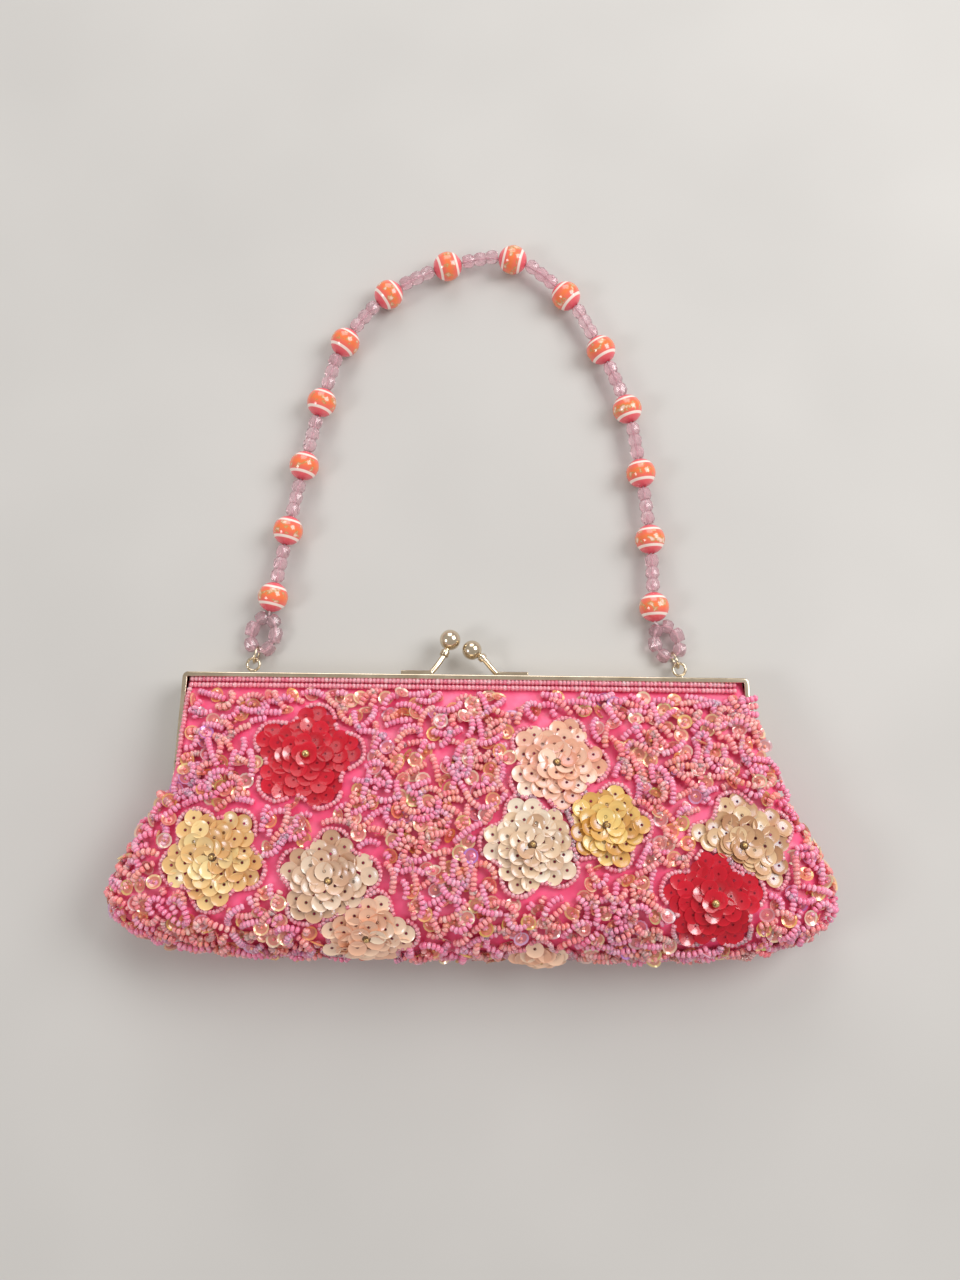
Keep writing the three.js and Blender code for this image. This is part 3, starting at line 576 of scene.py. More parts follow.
def pouch_face(place, share, side):
    """The outside of the beaded pouch, front or back. Place 0 to 1 runs from the mouth to the base line,
    and 1 to 2 round the base, where the heights close as a quarter ellipse. Across, from one side seam
    at share -1 to the other at 1, the height is a squared ellipse less the dents; the back lies flat."""
    y = MOUTH_Y + (BASE_TURN - MOUTH_Y) * np.minimum(place, 1)
    left, right, front, back, seam, square = (section_value(c, y)[:, None] for c in SECTION_COLUMNS[1:])
    turn = np.maximum(place - 1, 0) * np.pi / 2
    close = np.maximum(np.cos(turn), BASE_EDGE)[:, None]
    y = (y - BASE_DEPTH * np.sin(turn))[:, None]
    x = share * np.where(share < 0, left, right) * close ** BASE_CORNER
    crown = (1 - np.abs(share) ** square) ** (1 / square)
    if side > 0:
        z = seam + (front - seam) * close * crown - dent_depth(x, y) * crown * smooth(-y, *DENT_FADE)
    else:
        z = seam - (seam - back) * close * crown
    return np.stack([x, np.broadcast_to(y, x.shape), np.maximum(z, 0)], -1)


def run_along(line):
    """Distance along a line of points to each of them."""
    return np.concatenate([[0], np.cumsum(np.linalg.norm(np.diff(line, axis=0), axis=1))])


def taken(line, run, wanted):
    """Places on a line of points at wanted distances along it."""
    return np.stack([np.interp(wanted, run, line[:, k]) for k in range(3)], -1)


def evenly(lines, count):
    """Each line of points taken at a count of equal steps along its length, without its far end."""
    share = np.arange(count) / count
    runs = [run_along(line) for line in lines]
    return np.array([taken(line, run, share * run[-1]) for line, run in zip(lines, runs)])


def arm_face(y):
    """Distance of the arms' outer faces from the middle of the bag at a height."""
    return FRAME_HALF_WIDTH + ARM_FLARE * np.clip(-y / HINGE_DROP, 0, 1)


def inside_arms(points):
    """Above the hinges the cloth passes under the front lip into the channels, but may puff out over it."""
    x, y, z = np.moveaxis(points, -1, 0)
    room = np.interp(z, FRAME_TOP + LIP_HEIGHTS, LIP_ROOM)
    reach = arm_face(y) + room + FREE_ROOM * smooth(-y - HINGE_DROP, *FREE_FADE)
    return np.stack([np.clip(x, -reach, reach), y, z], -1)


def outward(grid):
    """Direction square to a grid whose columns run round."""
    across = np.roll(grid, -1, 1) - np.roll(grid, 1, 1)
    return unit(np.cross(np.gradient(grid, axis=0), across))


# Rows are spaced evenly down the middle of the front; columns run round from the left seam.
fine_place = np.linspace(0, 2, FINE_ROWS)
fine_run = run_along(pouch_face(fine_place, np.zeros(1), 1)[:, 0])
ROW_STEP = fine_run[-1] / (ROWS - 1)
CLOTH_LENGTH = fine_run[-1] - MOUTH_Y
place_of_row = np.interp(np.arange(ROWS) * ROW_STEP, fine_run, fine_place)
across_share = np.sin(np.linspace(-1, 1, FINE_COLUMNS) * np.pi / 2)
front_face = evenly(pouch_face(place_of_row, across_share, 1), HALF_COLUMNS)
back_face = evenly(pouch_face(place_of_row, across_share[::-1], -1), HALF_COLUMNS)
envelope = np.concatenate([front_face, back_face], axis=1)

# How far past its side seam or the base edge each point of the back lies.
back_run = np.zeros(envelope.shape[:2])
back_step = np.linalg.norm(np.diff(back_face, axis=1), axis=2).mean(1, keepdims=True)
from_right = np.arange(HALF_COLUMNS) * back_step
from_edge = (ROWS - 1 - np.arange(ROWS))[:, None] * ROW_STEP
from_seam = np.minimum(from_right, HALF_COLUMNS * back_step - from_right)
back_run[:, HALF_COLUMNS:] = np.minimum(from_seam, from_edge)

out_x, down_y = envelope[..., 0], -envelope[..., 1]
beside_arm = smooth(np.abs(out_x), *ARM_BAND) * (1 - smooth(down_y - HINGE_DROP, *ARM_FADE))
depth = BARE_DEPTH + BEADWORK_DEPTH * (1 - smooth(back_run, *BARE_FADE))
depth = depth * (MOUTH_SHARE + (1 - MOUTH_SHARE) * smooth(down_y, *MOUTH_FADE))
depth = depth * (1 - ARM_THINNING * beside_arm)
pucker = np.prod([np.sin(out_x / across - down_y / along) for across, along in PUCKER_WAVES], axis=0)
pucker = PUCKER * pucker * smooth(down_y, *PUCKER_FADE) * (1 - smooth(back_run, *PUCKER_BACK_FADE))
satin = inside_arms(envelope + outward(envelope) * (pucker - depth)[..., None])
satin[..., 2] = np.maximum(satin[..., 2], BARE_DEPTH)
satin_out = outward(satin)

quads = grid_faces(ROWS, COLUMNS, round_columns=True, flip=True)
middles = satin.reshape(-1, 3)[quads].mean(1)
slot = (middles[:, 1] > SLOT_FOOT) & (np.abs(middles[:, 2] - FRAME_MIDDLE) < SLOT_HALF_GAP)
base_seam = np.arange(COLUMNS)[None] + COLUMNS * (ROWS - 1)

# Polyester satin: smooth and lustrous, with fine warp ribs that catch the light along the bag. Its pink is
# painted lighter and darker in soft patches, as painted sheen and shade of small folds.
SATIN_RIB_DEPTH = 0.1
satin_cloth, tree, shader = new_material(
    "hot_pink_satin", Roughness=0.36, Sheen_Weight=0.35, Sheen_Roughness=0.35,
    Sheen_Tint=linear("#ff9cc0"), Specular_IOR_Level=0.55)
fold_sheen_and_shade = texture(tree, "Noise", size=9, values={"Detail": 3.0})
rib = texture(tree, "Wave", size=0.45, values={"Distortion": 1.2}, bands_direction="Y")
bump = {"Strength": 0.12, "Distance": SATIN_RIB_DEPTH * MM}
ribbed = add_node(tree, "ShaderNodeBump", bump, {"Height": rib})
# Painted sheen and shade: the pink runs lighter and darker with the fold noise.
pink = ramp(tree, fold_sheen_and_shade, (0.3, "#f04a7a"), (0.5, "#f85e8c"), (0.72, "#fc7aa2"))
feed(tree, shader, Base_Color=pink, Normal=ribbed.outputs["Normal"])

pouch_shape = satin.reshape(-1, 3), [quads[~slot], base_seam]
pouch = put_piece("satin_pouch", pouch_shape, satin_cloth)
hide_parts("pouch_front", "pouch_back")

# Sequin flowers
# Ten flowers of overlapping sequins, each sewn by a thread through its middle from the petal tips inwards
# so that every row rests on the one outside it. Eight are pearly cup sequins and two are clear red.
# Each flower's middle across the bag, distance down the cloth from the rail, radius, turn in degrees,
# and how much more of the room than its neighbours it takes.
FLOWERS = {
    "flower_red_upper": (-48.7, 29.3, 16.6, 81, 1),
    "flower_gold_left": (-75.1, 61.1, 15.4, 52, 1),
    "flower_taupe": (-40.1, 67.8, 14.6, 85, 1),
    "flower_peach_lower": (-28.6, 85.4, 14.4, 78, 1),
    "flower_peach_upper": (28.6, 30.6, 14.8, 70, 1),
    "flower_cream": (20.9, 56.4, 14.8, 105, 1),
    "flower_gold_middle": (43.4, 50.2, 12.6, 72, 1),
    "flower_beige": (84.9, 55.8, 15.8, 100, 1),
    "flower_red_lower": (75.1, 72.8, 15.0, 89, 2.6),
    "flower_peach_base": (23.6, 96.6, 9.4, 90, 1),
}
PEARL_COLOURS = {
    "flower_gold_left": ("#edbf7c", "#f8dc9c", "#d99a58"),
    "flower_taupe": ("#dfb593", "#f0d6bd", "#c4906c"),
    "flower_peach_lower": ("#f8c4a4", "#fce0c4", "#e8a580"),
    "flower_peach_upper": ("#f3b898", "#fad9c0", "#e0977a"),
    "flower_cream": ("#ebcaa6", "#f8e6d0", "#cfa27c"),
    "flower_gold_middle": ("#e6b058", "#f4d07c", "#c98a3a"),
    "flower_beige": ("#d3a379", "#e8c69a", "#b57e54"),
    "flower_peach_base": ("#f8c4a4", "#fce0c4", "#e8a580"),
}
RED_COLOURS = ("#cc1028", "#d61830", "#b80a20")
PETALS = 5
PETAL_NOTCH = 0.3
PETAL_ROUND = 3
NEIGHBOUR_REACH = 6
NEIGHBOUR_ROOM = 0.4
LEAST_FACING = 0.05
CLOTH_STEP = 0.8
# Rows of sequins from the petals' edge inwards: share of the reach, and the spacing along the row.
PEARL_ROWS = ((1.0, 4.5), (0.66, 4.2), (0.33, 3.8))
RED_ROWS = ((1.0, 4.2), (0.7, 4.2), (0.4, 4.0), (0.12, 3.4))
EDGE_STEPS = 400
EDGE_INSET = 0.75
LEAST_REACH = 2.5
LEAST_COUNT = 4
LEAST_DISTANCE = 0.6
SPACING_SPREAD = 0.07
DISTANCE_SPREAD = 0.25
SEQUIN_LIFT = 1.3
LIFT_SPREAD = 0.12
SEQUIN_PILE = 0.36
SEQUIN_SIDES = 14
PEARL_RADIUS = 2.85
RED_RADIUS = 2.7
# A sequin's rings of radius and height, and the painted light on each: the ring round the thread hole is
# darkened as painted shade in the hole, and the rim is lightened as a painted highlight.
PEARL_RINGS = [(0.38, 0.0), (0.62, 0.01), (1.85, 0.1), (2.45, 0.25), (PEARL_RADIUS, 0.46)]
PEARL_PAINTED_RING_LIGHT = (0.12, 0.9, 1.0, 1.02, 1.1)
RED_RINGS = [(0.3, 0.0), (0.5, 0.0), (1.5, 0.03), (2.3, 0.1), (RED_RADIUS, 0.18)]
RED_PAINTED_RING_LIGHT = (0.4, 0.9, 0.95, 1.0, 1.12)
# Lean towards the flower's middle and its spread, in degrees.
PEARL_LEAN = (7.5, 5)
RED_LEAN = (2.5, 2)
# The flower at the base edge hangs loose, so that its sequins turn up towards the front.
BASE_TILT = 1.1
# A few red sequins, left of the middle but not at the very edge, have turned on their threads most of the
# way to mirroring the window, so that a small part of each cup flashes white: two of its rings over two of
# its sides. Gloss is the weight of the mirror coat elsewhere.
RED_FLASHES = 5
FLASH_EDGE = 6
FLASH_TURN = 0.78
FLASH_RINGS = slice(2, 4)
FLASH_SIDES = slice(0, 2)
RED_GLOSS = 0.12
rng = np.random.default_rng(11)


def cloth_at(row, column):
    """Place on the satin, and the way out from it, at fractional rows and columns of its grid."""
    row = np.clip(row, 0, ROWS - 1.001)
    r = row.astype(int)
    c = np.floor(column).astype(int)
    down = (row - r)[..., None]
    over = (column - c)[..., None]
    c, d = c % COLUMNS, (c + 1) % COLUMNS
    here, out = (
        (1 - down) * ((1 - over) * grid[r, c] + over * grid[r, d])
        + down * ((1 - over) * grid[r + 1, c] + over * grid[r + 1, d])
        for grid in (satin, satin_out)
    )
    return here, unit(out)


def cloth_under(x, down):
    """Place on the satin, and the way out from it, at a place across the bag and a distance down from the
    rail. Past the base edge it runs on up the back."""
    under = down > CLOTH_LENGTH
    row = (np.where(under, 2 * CLOTH_LENGTH - down, down) + MOUTH_Y) / ROW_STEP
    r = np.clip(np.rint(row), 0, ROWS - 1).astype(int)
    line = np.where(under[..., None], satin[r, HALF_COLUMNS:, 0], satin[r, :HALF_COLUMNS, 0])
    near = np.clip(np.abs(line - x[..., None]).argmin(-1), 1, HALF_COLUMNS - 2)
    before, at, after = (np.take_along_axis(line, (near + k)[..., None], -1)[..., 0] for k in (-1, 0, 1))
    column = near + np.clip((x - at) * 2 / (after - before), -1, 1) + HALF_COLUMNS * under
    return cloth_at(row, column)


def square_to(normal, vectors):
    """Directions of some vectors without their part along a normal."""
    return unit(vectors - (vectors * normal).sum(-1, keepdims=True) * normal)


def petal_reach(name, heading):
    """A flower's lobed edge in a direction: its radius less a notch between each two round petals, and no
    further than its share of the way to a neighbour."""
    x, down, radius, turn, hold = FLOWERS[name]
    between = np.abs(np.sin(PETALS / 2 * (heading - np.radians(turn))))
    reach = radius * (1 - PETAL_NOTCH * between ** PETAL_ROUND)
    for other_x, other_down, other_radius, _, other_hold in FLOWERS.values():
        distance = np.hypot(other_x - x, down - other_down)
        if 0 < distance < radius + other_radius + NEIGHBOUR_REACH:
            facing = ((other_x - x) * np.cos(heading) + (down - other_down) * np.sin(heading)) / distance
            share = radius * hold / (radius * hold + other_radius * other_hold)
            most = (distance * share - NEIGHBOUR_ROOM) / np.maximum(facing, LEAST_FACING)
            reach = np.where(facing > LEAST_FACING, np.minimum(reach, most), reach)
    return reach


def on_flower(name, heading, distance, lift):
    """Place on the cloth at a heading and distance from a flower's middle, and the directions out from the
    cloth and away from the middle there."""
    x, down = FLOWERS[name][:2]
    (here, out), (further, _) = (
        cloth_under(x + np.cos(heading) * far, down - np.sin(heading) * far)
        for far in (distance, distance + CLOTH_STEP)
    )
    return here + np.asarray(lift)[..., None] * out, out, square_to(out, further - here)


def sequin_rows(name, sequin_radius, rows_in):
    """Headings, distances and row numbers of a flower's sequins: rows that follow the petals' edge at
    shares of its reach, with sequins evenly spaced round each."""
    headings, distances, rows = [], [], []
    for number, (share, spacing) in enumerate(rows_in):
        turn = full_turn(EDGE_STEPS)
        reach = np.maximum(petal_reach(name, turn) - EDGE_INSET * sequin_radius, LEAST_REACH) * share
        step = np.hypot(reach, np.gradient(reach, turn))
        run = np.cumsum(step) * (turn[1] - turn[0])
        count = max(int(round(run[-1] / spacing)), LEAST_COUNT)
        wanted = (np.arange(count) + rng.random() + rng.normal(0, SPACING_SPREAD, count)) / count * run[-1]
        heading = np.interp(wanted % run[-1], run, turn)
        headings.append(heading)
        distances.append(np.interp(heading, turn, reach) + rng.normal(0, DISTANCE_SPREAD, count))
        rows.append(np.full(count, number))
    distances = np.maximum(np.concatenate(distances), LEAST_DISTANCE)
    return np.concatenate(headings), distances, np.concatenate(rows)


def repeated(shape, centres, axes, ups, sizes=1.0):
    """Copies of a small shape, whose points are given along an axis, to its side and up, each way with a
    size of its own where sizes has three columns."""
    template, face_sets = shape
    ways = np.stack([axes, np.cross(ups, axes), ups], 1) * np.broadcast_to(sizes, axes.shape)[..., None]
    points = centres[:, None] + np.einsum("kl,nlj->nkj", template, ways)
    starts = np.arange(len(centres))[:, None, None] * len(template)
    return points.reshape(-1, 3), [(f[None] + starts).reshape(-1, f.shape[1]) for f in face_sets]


def cup_sequin(rings, sides):
    """A thin round cup: rings of radius and height, from the thread hole out to the rim."""
    turn = full_turn(sides)
    radius, height = np.array(rings).T[..., None]
    points = np.stack(np.broadcast_arrays(radius * np.cos(turn), radius * np.sin(turn), height), -1)
    return points.reshape(-1, 3), [grid_faces(len(rings), sides, round_columns=True, flip=True)]


def tint(piece, colours, gloss=1.0):
    """Stores a colour and a gloss for each point, which the piece's material reads."""
    layer = piece.data.color_attributes.new("tint", "FLOAT_COLOR", "POINT")
    held = np.column_stack([colours, np.broadcast_to(gloss, len(colours))])
    layer.data.foreach_set("color", held.astype(np.float32).ravel())


def stored_tint(tree):
    """Sockets of the colour and the gloss that tint stores."""
    return add_node(tree, "ShaderNodeAttribute", attribute_name="tint").outputs


def mixed(hex_colours, count, evenness=0.6):
    """Random blends of a few colours, one for each of a count of beads or sequins. The less even they are,
    the more each keeps to one of the colours."""
    palette = np.array([linear(colour)[:3] for colour in hex_colours])
    shares = rng.dirichlet(np.full(len(palette), evenness), count)
    return shares @ palette


# Pearly plastic: a milky body under a nacre film that turns pink and green where it catches light.
pearl, tree, shader = new_material(
    "pearl_sequin_plastic", Roughness=0.24, IOR=1.5, Coat_Weight=0.5, Coat_Roughness=0.12,
    Thin_Film_Thickness=380.0, Thin_Film_IOR=1.6)
feed(tree, shader, Base_Color=stored_tint(tree)["Color"])

# Clear red plastic: deep and glassy, so that each rim shows through the sequin above it.
ruby, tree, shader = new_material(
    "clear_red_sequin_plastic", Roughness=0.3, IOR=1.36, Coat_IOR=2.0, Coat_Roughness=0.04, Alpha=0.86)
stored = stored_tint(tree)
feed(tree, shader, Base_Color=stored["Color"], Coat_Weight=stored["Alpha"])

PEARL = (PEARL_RADIUS, PEARL_ROWS, PEARL_LEAN, PEARL_RINGS, PEARL_PAINTED_RING_LIGHT, pearl, "pearl_sequin")
RED = (RED_RADIUS, RED_ROWS, RED_LEAN, RED_RINGS, RED_PAINTED_RING_LIGHT, ruby, "red_sequin")
sequin_spots = []
for name in FLOWERS:
    red = name.startswith("flower_red")
    radius, rows_in, (lean, spread), rings, painted_ring_light, material, slot_name = RED if red else PEARL
    heading, distance, row = sequin_rows(name, radius, rows_in)
    lift = SEQUIN_LIFT + SEQUIN_PILE * row + rng.normal(0, LIFT_SPREAD, len(row))
    centre, out, away = on_flower(name, heading, distance, lift)
    if name == "flower_peach_base":
        out = unit(out + BASE_TILT * UP)
    lean = np.radians(rng.normal(lean, spread, len(row)))[:, None]
    roll = np.radians(rng.normal(spread / 2, spread, len(row)))[:, None]
    normal = unit(np.cos(lean) * out - np.sin(lean) * away + np.sin(roll) * np.cross(out, away))
    gloss = np.full((len(row), len(rings), SEQUIN_SIDES), RED_GLOSS if red else 1.0)
    if red:
        leftmost = np.argsort(centre[:, 0])[FLASH_EDGE:len(row) // 2]
        flashing = rng.choice(leftmost, RED_FLASHES, replace=False)
        to_window = unit(WINDOWS["right_window"]["place"] - BAG - centre[flashing])
        mirroring = unit(unit(CAMERA_PLACE - centre[flashing]) + to_window)
        normal[flashing] = unit((1 - FLASH_TURN) * out[flashing] + FLASH_TURN * mirroring)
        gloss[flashing, FLASH_RINGS, FLASH_SIDES] = 1
    axis = square_to(normal, away)
    colours = mixed(RED_COLOURS if red else PEARL_COLOURS[name], len(row))
    shape = repeated(cup_sequin(rings, SEQUIN_SIDES), centre, axis, normal)
    piece = put_piece(f"{name}_sequins", shape, material)
    # Painted light: each ring's colour is darkened at the thread hole as painted shade and lightened at the
    # rim as a painted highlight.
    painted_light_colours = colours[:, None] * np.repeat(painted_ring_light, SEQUIN_SIDES)[None, :, None]
    tint(piece, painted_light_colours.reshape(-1, 3).clip(0, 1), gloss.ravel())
    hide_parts(name)
    sequin_spots.append(centre)
sequin_spots = np.concatenate(sequin_spots)

# Flower middles
# One small gold-lined bead knots the dark threads at the middle of each flower, larger on the red ones,
# where it hides them.
MIDDLE_RADIUS = 0.8
MIDDLE_LIFT = SEQUIN_LIFT + SEQUIN_PILE + 0.9
RED_MIDDLE_RADIUS = 1.25
RED_MIDDLE_LIFT = SEQUIN_LIFT + SEQUIN_PILE * 3 + 1.0
PAD = [(0, -0.7), (1.0, -0.6), (1.4, -0.1), (1.2, 0.3), (0.7, 0.5), (0, 0.55)]
PAD_DROP = 0.6

# Gold-lined glass: bright metal seen through a clear bead, browned in places.
gold_lined, tree, shader = new_material(
    "gold_lined_glass_bead", Roughness=0.15, Metallic=0.6, Coat_Weight=0.7)
lining = texture(tree, "Noise", size=0.8)
feed(tree, shader, Base_Color=ramp(tree, lining, (0.35, "#8a6a3a"), (0.6, "#d9b877")))

# Waxed sewing thread, brown and dull.
waxed, tree, shader = new_material("brown_waxed_thread", Roughness=0.6)
stitch = texture(tree, "Wave", size=0.4, values={"Distortion": 3.0})
feed(tree, shader, Base_Color=ramp(tree, stitch, (0.2, "#3a2618"), (0.8, "#7d5a3a")))

beads, pads = [], []
for name in FLOWERS:
    red = name.startswith("flower_red")
    lift = RED_MIDDLE_LIFT if red else MIDDLE_LIFT
    (centre,), (out,), _ = on_flower(name, np.zeros(1), np.zeros(1), lift)
    beads.append(ball(RED_MIDDLE_RADIUS if red else MIDDLE_RADIUS, centre, out, 9, 14))
    if not red:
        pads.append(lathe(PAD, centre - PAD_DROP * out, out, 14))
put_piece("flower_middle_beads", joined(*beads), gold_lined, weld=True)
put_piece("flower_middle_threads", joined(*pads), waxed, weld=True)

# Seed beads in rows
# Rows of pink seed beads strung on thread and couched down: two along the rail, one beside the left arm
# and one round each flower.
BEAD_RADIUS = 0.93
BEAD_LENGTH = 1.22
BEAD_SIDES = 8
# A bead's rings: share of the radius and place along the thread.
BEAD_RINGS = np.array([(0.7, -0.5), (1, 0), (0.7, 0.5)])
BEAD_SPREAD = 0.04
BEAD_SPACING = 1.27
RAIL_ROWS = (-2.3, -4.25)
RAIL_ROW_ENDS = (-88.6, 87.0)
RAIL_STEPS = 300
RAIL_LIFT = BEAD_RADIUS + 0.15
ARM_ROW_IN = 3.0
ARM_ROW_ENDS = (6.2, HINGE_DROP - 1)
ARM_STEPS = 80
OUTLINE_GAP = 1.1
OUTLINE_STEPS = 240
OUTLINE_LIFT = BEAD_RADIUS + 0.2
# Outline beads keep this far from the middles of the sequins, and stay off the cloth below this height.
OUTLINE_CLEAR = RED_RADIUS - 0.1
OUTLINE_LEAST_HEIGHT = 3
ROW_COLOURS = ("#f08a9a", "#f4a0ac", "#e8748c", "#f4b4ba")


def seed_bead():
    """A short barrel, rounded along its thread and flat at its holes."""
    points, _ = lathe(BEAD_RINGS * (BEAD_RADIUS, BEAD_LENGTH), np.zeros(3), (1, 0, 0), BEAD_SIDES)
    return capped(points.reshape(-1, BEAD_SIDES, 3))


def strung(line):
    """Places and thread directions of touching beads along a line of points."""
    run = run_along(line)
    count = int(run[-1] / BEAD_SPACING)
    wanted = (np.arange(count) + 0.5) * run[-1] / count
    before, at, after = (taken(line, run, wanted + far) for far in (-0.5, 0, 0.5))
    return at, unit(after - before)


def turned_at_random(axes):
    """A random direction square to each axis."""
    return unit(np.cross(axes, rng.normal(size=axes.shape)))


def bead_piece(name, centres, axes, colours, size=1.0):
    """Seed beads as one mesh, each turned at random about its thread and tinted."""
    guide = turned_at_random(axes)
    bead = seed_bead()
    sizes = np.asarray(size) * (1 + rng.normal(0, BEAD_SPREAD, (len(centres), 1)))
    piece = put_piece(name, repeated(bead, centres, axes, guide, sizes), bead_glass)
    tint(piece, np.repeat(colours, len(bead[0]), axis=0))


# Translucent pressed glass: a rose body with a bright wet highlight on every bead.
bead_glass, tree, shader = new_material(
    "rose_glass_seed_bead", Roughness=0.2, IOR=1.48, Coat_Weight=0.35, Coat_Roughness=0.06,
    Subsurface_Weight=0.75, Subsurface_Radius=(1.0, 0.5, 0.55), Subsurface_Scale=2.2 * MM)
feed(tree, shader, Base_Color=stored_tint(tree)["Color"])

rows = []
across = np.linspace(*RAIL_ROW_ENDS, RAIL_STEPS)
for y in RAIL_ROWS:
    level = np.full(RAIL_STEPS, y)
    here, _ = cloth_under(across, -level)
    rows.append(strung(np.column_stack([across, level, here[:, 2] + RAIL_LIFT])))
fall = np.linspace(*ARM_ROW_ENDS, ARM_STEPS)
here, out = cloth_under(ARM_ROW_IN - arm_face(-fall), fall)
rows.append(strung(here + BEAD_RADIUS * out))
heading = full_turn(OUTLINE_STEPS)
for name in FLOWERS:
    reach = petal_reach(name, heading) + OUTLINE_GAP
    line, _, _ = on_flower(name, heading, reach, OUTLINE_LIFT)
    at, along = strung(np.concatenate([line, line[:1]]))
    nearest = np.linalg.norm(at[:, None] - sequin_spots[None], axis=2).min(1)
    keep = (nearest > OUTLINE_CLEAR) & (at[:, 2] > OUTLINE_LEAST_HEIGHT)
    rows.append((at[keep], along[keep]))
row_places, row_axes = (np.concatenate(held) for held in zip(*rows))
bead_piece("seed_bead_rows", row_places, row_axes, mixed(ROW_COLOURS, len(row_places)))

# Seed bead strands
# Short strands of five to eight beads, each caught down at its ends so that it bows up off the satin like
# a small caterpillar, sewn every way over the front and round onto the edges. Shorter ones fill what they
# leave bare, and a few lie over the frame's right arm.
# For each sort: strands, tries at each, beads on it, height of its arch, and the bare ground it needs.
STRAND_SORTS = ((540, 6, (5, 8), (0.2, 1.8), 0), (260, 12, (2, 4), (0, 0.7), 2.2))
STRAND_WIDTH = 1.28
STRAND_LIFT = BEAD_RADIUS * STRAND_WIDTH
STRAND_BEND = 16
# How far off a strand still counts as a neighbour, and a first point that is no neighbour of any.
CROWD_REACH = 4
FAR_AWAY = np.full((1, 3), 1e3)
# The ground that they are sewn to: round onto the back, less densely where it is steep, below the rail,
# off the left arm and the low cloth by the arms, and outside the flowers' outlines.
WRAP_ROUND = 7
STEEP_SHARE = 0.4
GROUND_TOP = -6.5
LEFT_ARM_ROOM = 3.2
ARM_CLOTH_HEIGHT = 12
OUTLINE_ROOM = OUTLINE_GAP + 1.5
FLOWER_ROOM = 1.9
# Beads may lap over the left arm's edge by a share of their radius, and pass the right arm where they lie
# higher than its lip.
ARM_LAP = 0.9
LEFT_LIP = 1
RIGHT_LIP = 1.5
STRAND_COLOURS = {
    "mauve": ("#f480a2", "#f89cb4", "#f07096", "#f294b8", "#fabccb"),
    "rose": ("#f68894", "#faa6aa", "#f07282", "#fcc0b8", "#f49680"),
}
SHOULDER_ROWS = np.arange(-7.0, -16.0, -2.4)
SHOULDER_BEADS = np.arange(-4, 2)
SHOULDER_SLANT = 0.35
SHOULDER_FALL = 0.3

satin_x, satin_y, satin_z = np.moveaxis(satin, -1, 0)
row_length = np.linalg.norm(np.gradient(satin, axis=0), axis=2)
column_length = np.linalg.norm(np.roll(satin, -1, 1) - np.roll(satin, 1, 1), axis=2) / 2
by_arm = (satin_x < LEFT_ARM_ROOM - arm_face(satin_y)) | (satin_z < ARM_CLOTH_HEIGHT)
ground = row_length * column_length * (back_run < WRAP_ROUND) * (satin_y < GROUND_TOP)
ground = ground * (STEEP_SHARE + (1 - STEEP_SHARE) * np.maximum(satin_out[..., 2], 0))
ground = ground * ~((satin_y > SLOT_FOOT) & by_arm)
down_front = np.arange(ROWS)[:, None] * ROW_STEP - MOUTH_Y
cloth_down = np.where(np.arange(COLUMNS) < HALF_COLUMNS, down_front, 2 * CLOTH_LENGTH - down_front)
for name, (x, down, *_) in FLOWERS.items():
    over, fall = satin_x - x, cloth_down - down
    outline = petal_reach(name, np.arctan2(-fall, over)) + OUTLINE_ROOM
    ground = ground * (np.hypot(over, fall) > outline)
ground = ground.ravel() / ground.sum()
flower_bounds = np.concatenate([sequin_spots, row_places])


def apart(points, others):
    """Distance from each point to the nearest of the others."""
    return np.sqrt(((points[..., None, :] - others) ** 2).sum(-1)).min(-1)


def ground_spots(tries):
    """Rows and columns of the satin's grid at random over the ground cloth."""
    return np.divmod(rng.choice(len(ground), tries, p=ground), COLUMNS)


def over_arm(places, radius):
    """Which places lie over the frame's left arm, or low enough on the right to touch its arm."""
    x, y, z = np.moveaxis(places, -1, 0)
    arm = arm_face(y)
    on_right = (z < FRAME_TOP + radius) & (x > arm - radius - RIGHT_LIP)
    return (y > SLOT_FOOT) & ((x < ARM_LAP * radius + LEFT_LIP - arm) | on_right)


def strand_tries(tries, beads, arch):
    """Bead places of a few strands at random: each starts on the ground cloth, turns evenly along its
    length and rises off the cloth as a low arch."""
    r, c = ground_spots(tries)
    count = rng.integers(beads[0], beads[1] + 1)
    step = np.arange(count) - (count - 1) / 2
    heading = rng.random((tries, 1)) * 2 * np.pi
    heading = heading + np.radians(rng.normal(0, STRAND_BEND, (tries, 1))) * step
    over = np.cumsum(np.cos(heading), 1) * BEAD_SPACING
    down = np.cumsum(np.sin(heading), 1) * BEAD_SPACING
    row = r[:, None] + (down - down.mean(1, keepdims=True)) / row_length[r, c][:, None]
    column = c[:, None] + (over - over.mean(1, keepdims=True)) / column_length[r, c][:, None]
    here, out = cloth_at(row, column)
    rise = rng.uniform(*arch) * np.sin(np.pi * (np.arange(count) + 0.5) / count)
    places = here + (STRAND_LIFT + rise)[None, :, None] * out
    return places, (row >= 0) & (row <= ROWS - 1) & ~over_arm(places, STRAND_LIFT)


def shoulder_strand(y):
    """Bead places of a strand across the right arm at a height down it: from the cloth, level over the
    front lip, then falling outside it as a parabola."""
    over = SHOULDER_BEADS * BEAD_SPACING
    x = arm_face(y) + over
    here, _ = cloth_under(x, np.full(len(over), -y))
    level = np.maximum(here[:, 2], FRAME_TOP) + STRAND_LIFT
    fall = SHOULDER_FALL * np.maximum(over, 0) ** 2
    return np.column_stack([x, y + rng.normal(0, SHOULDER_SLANT) * over, level - fall])


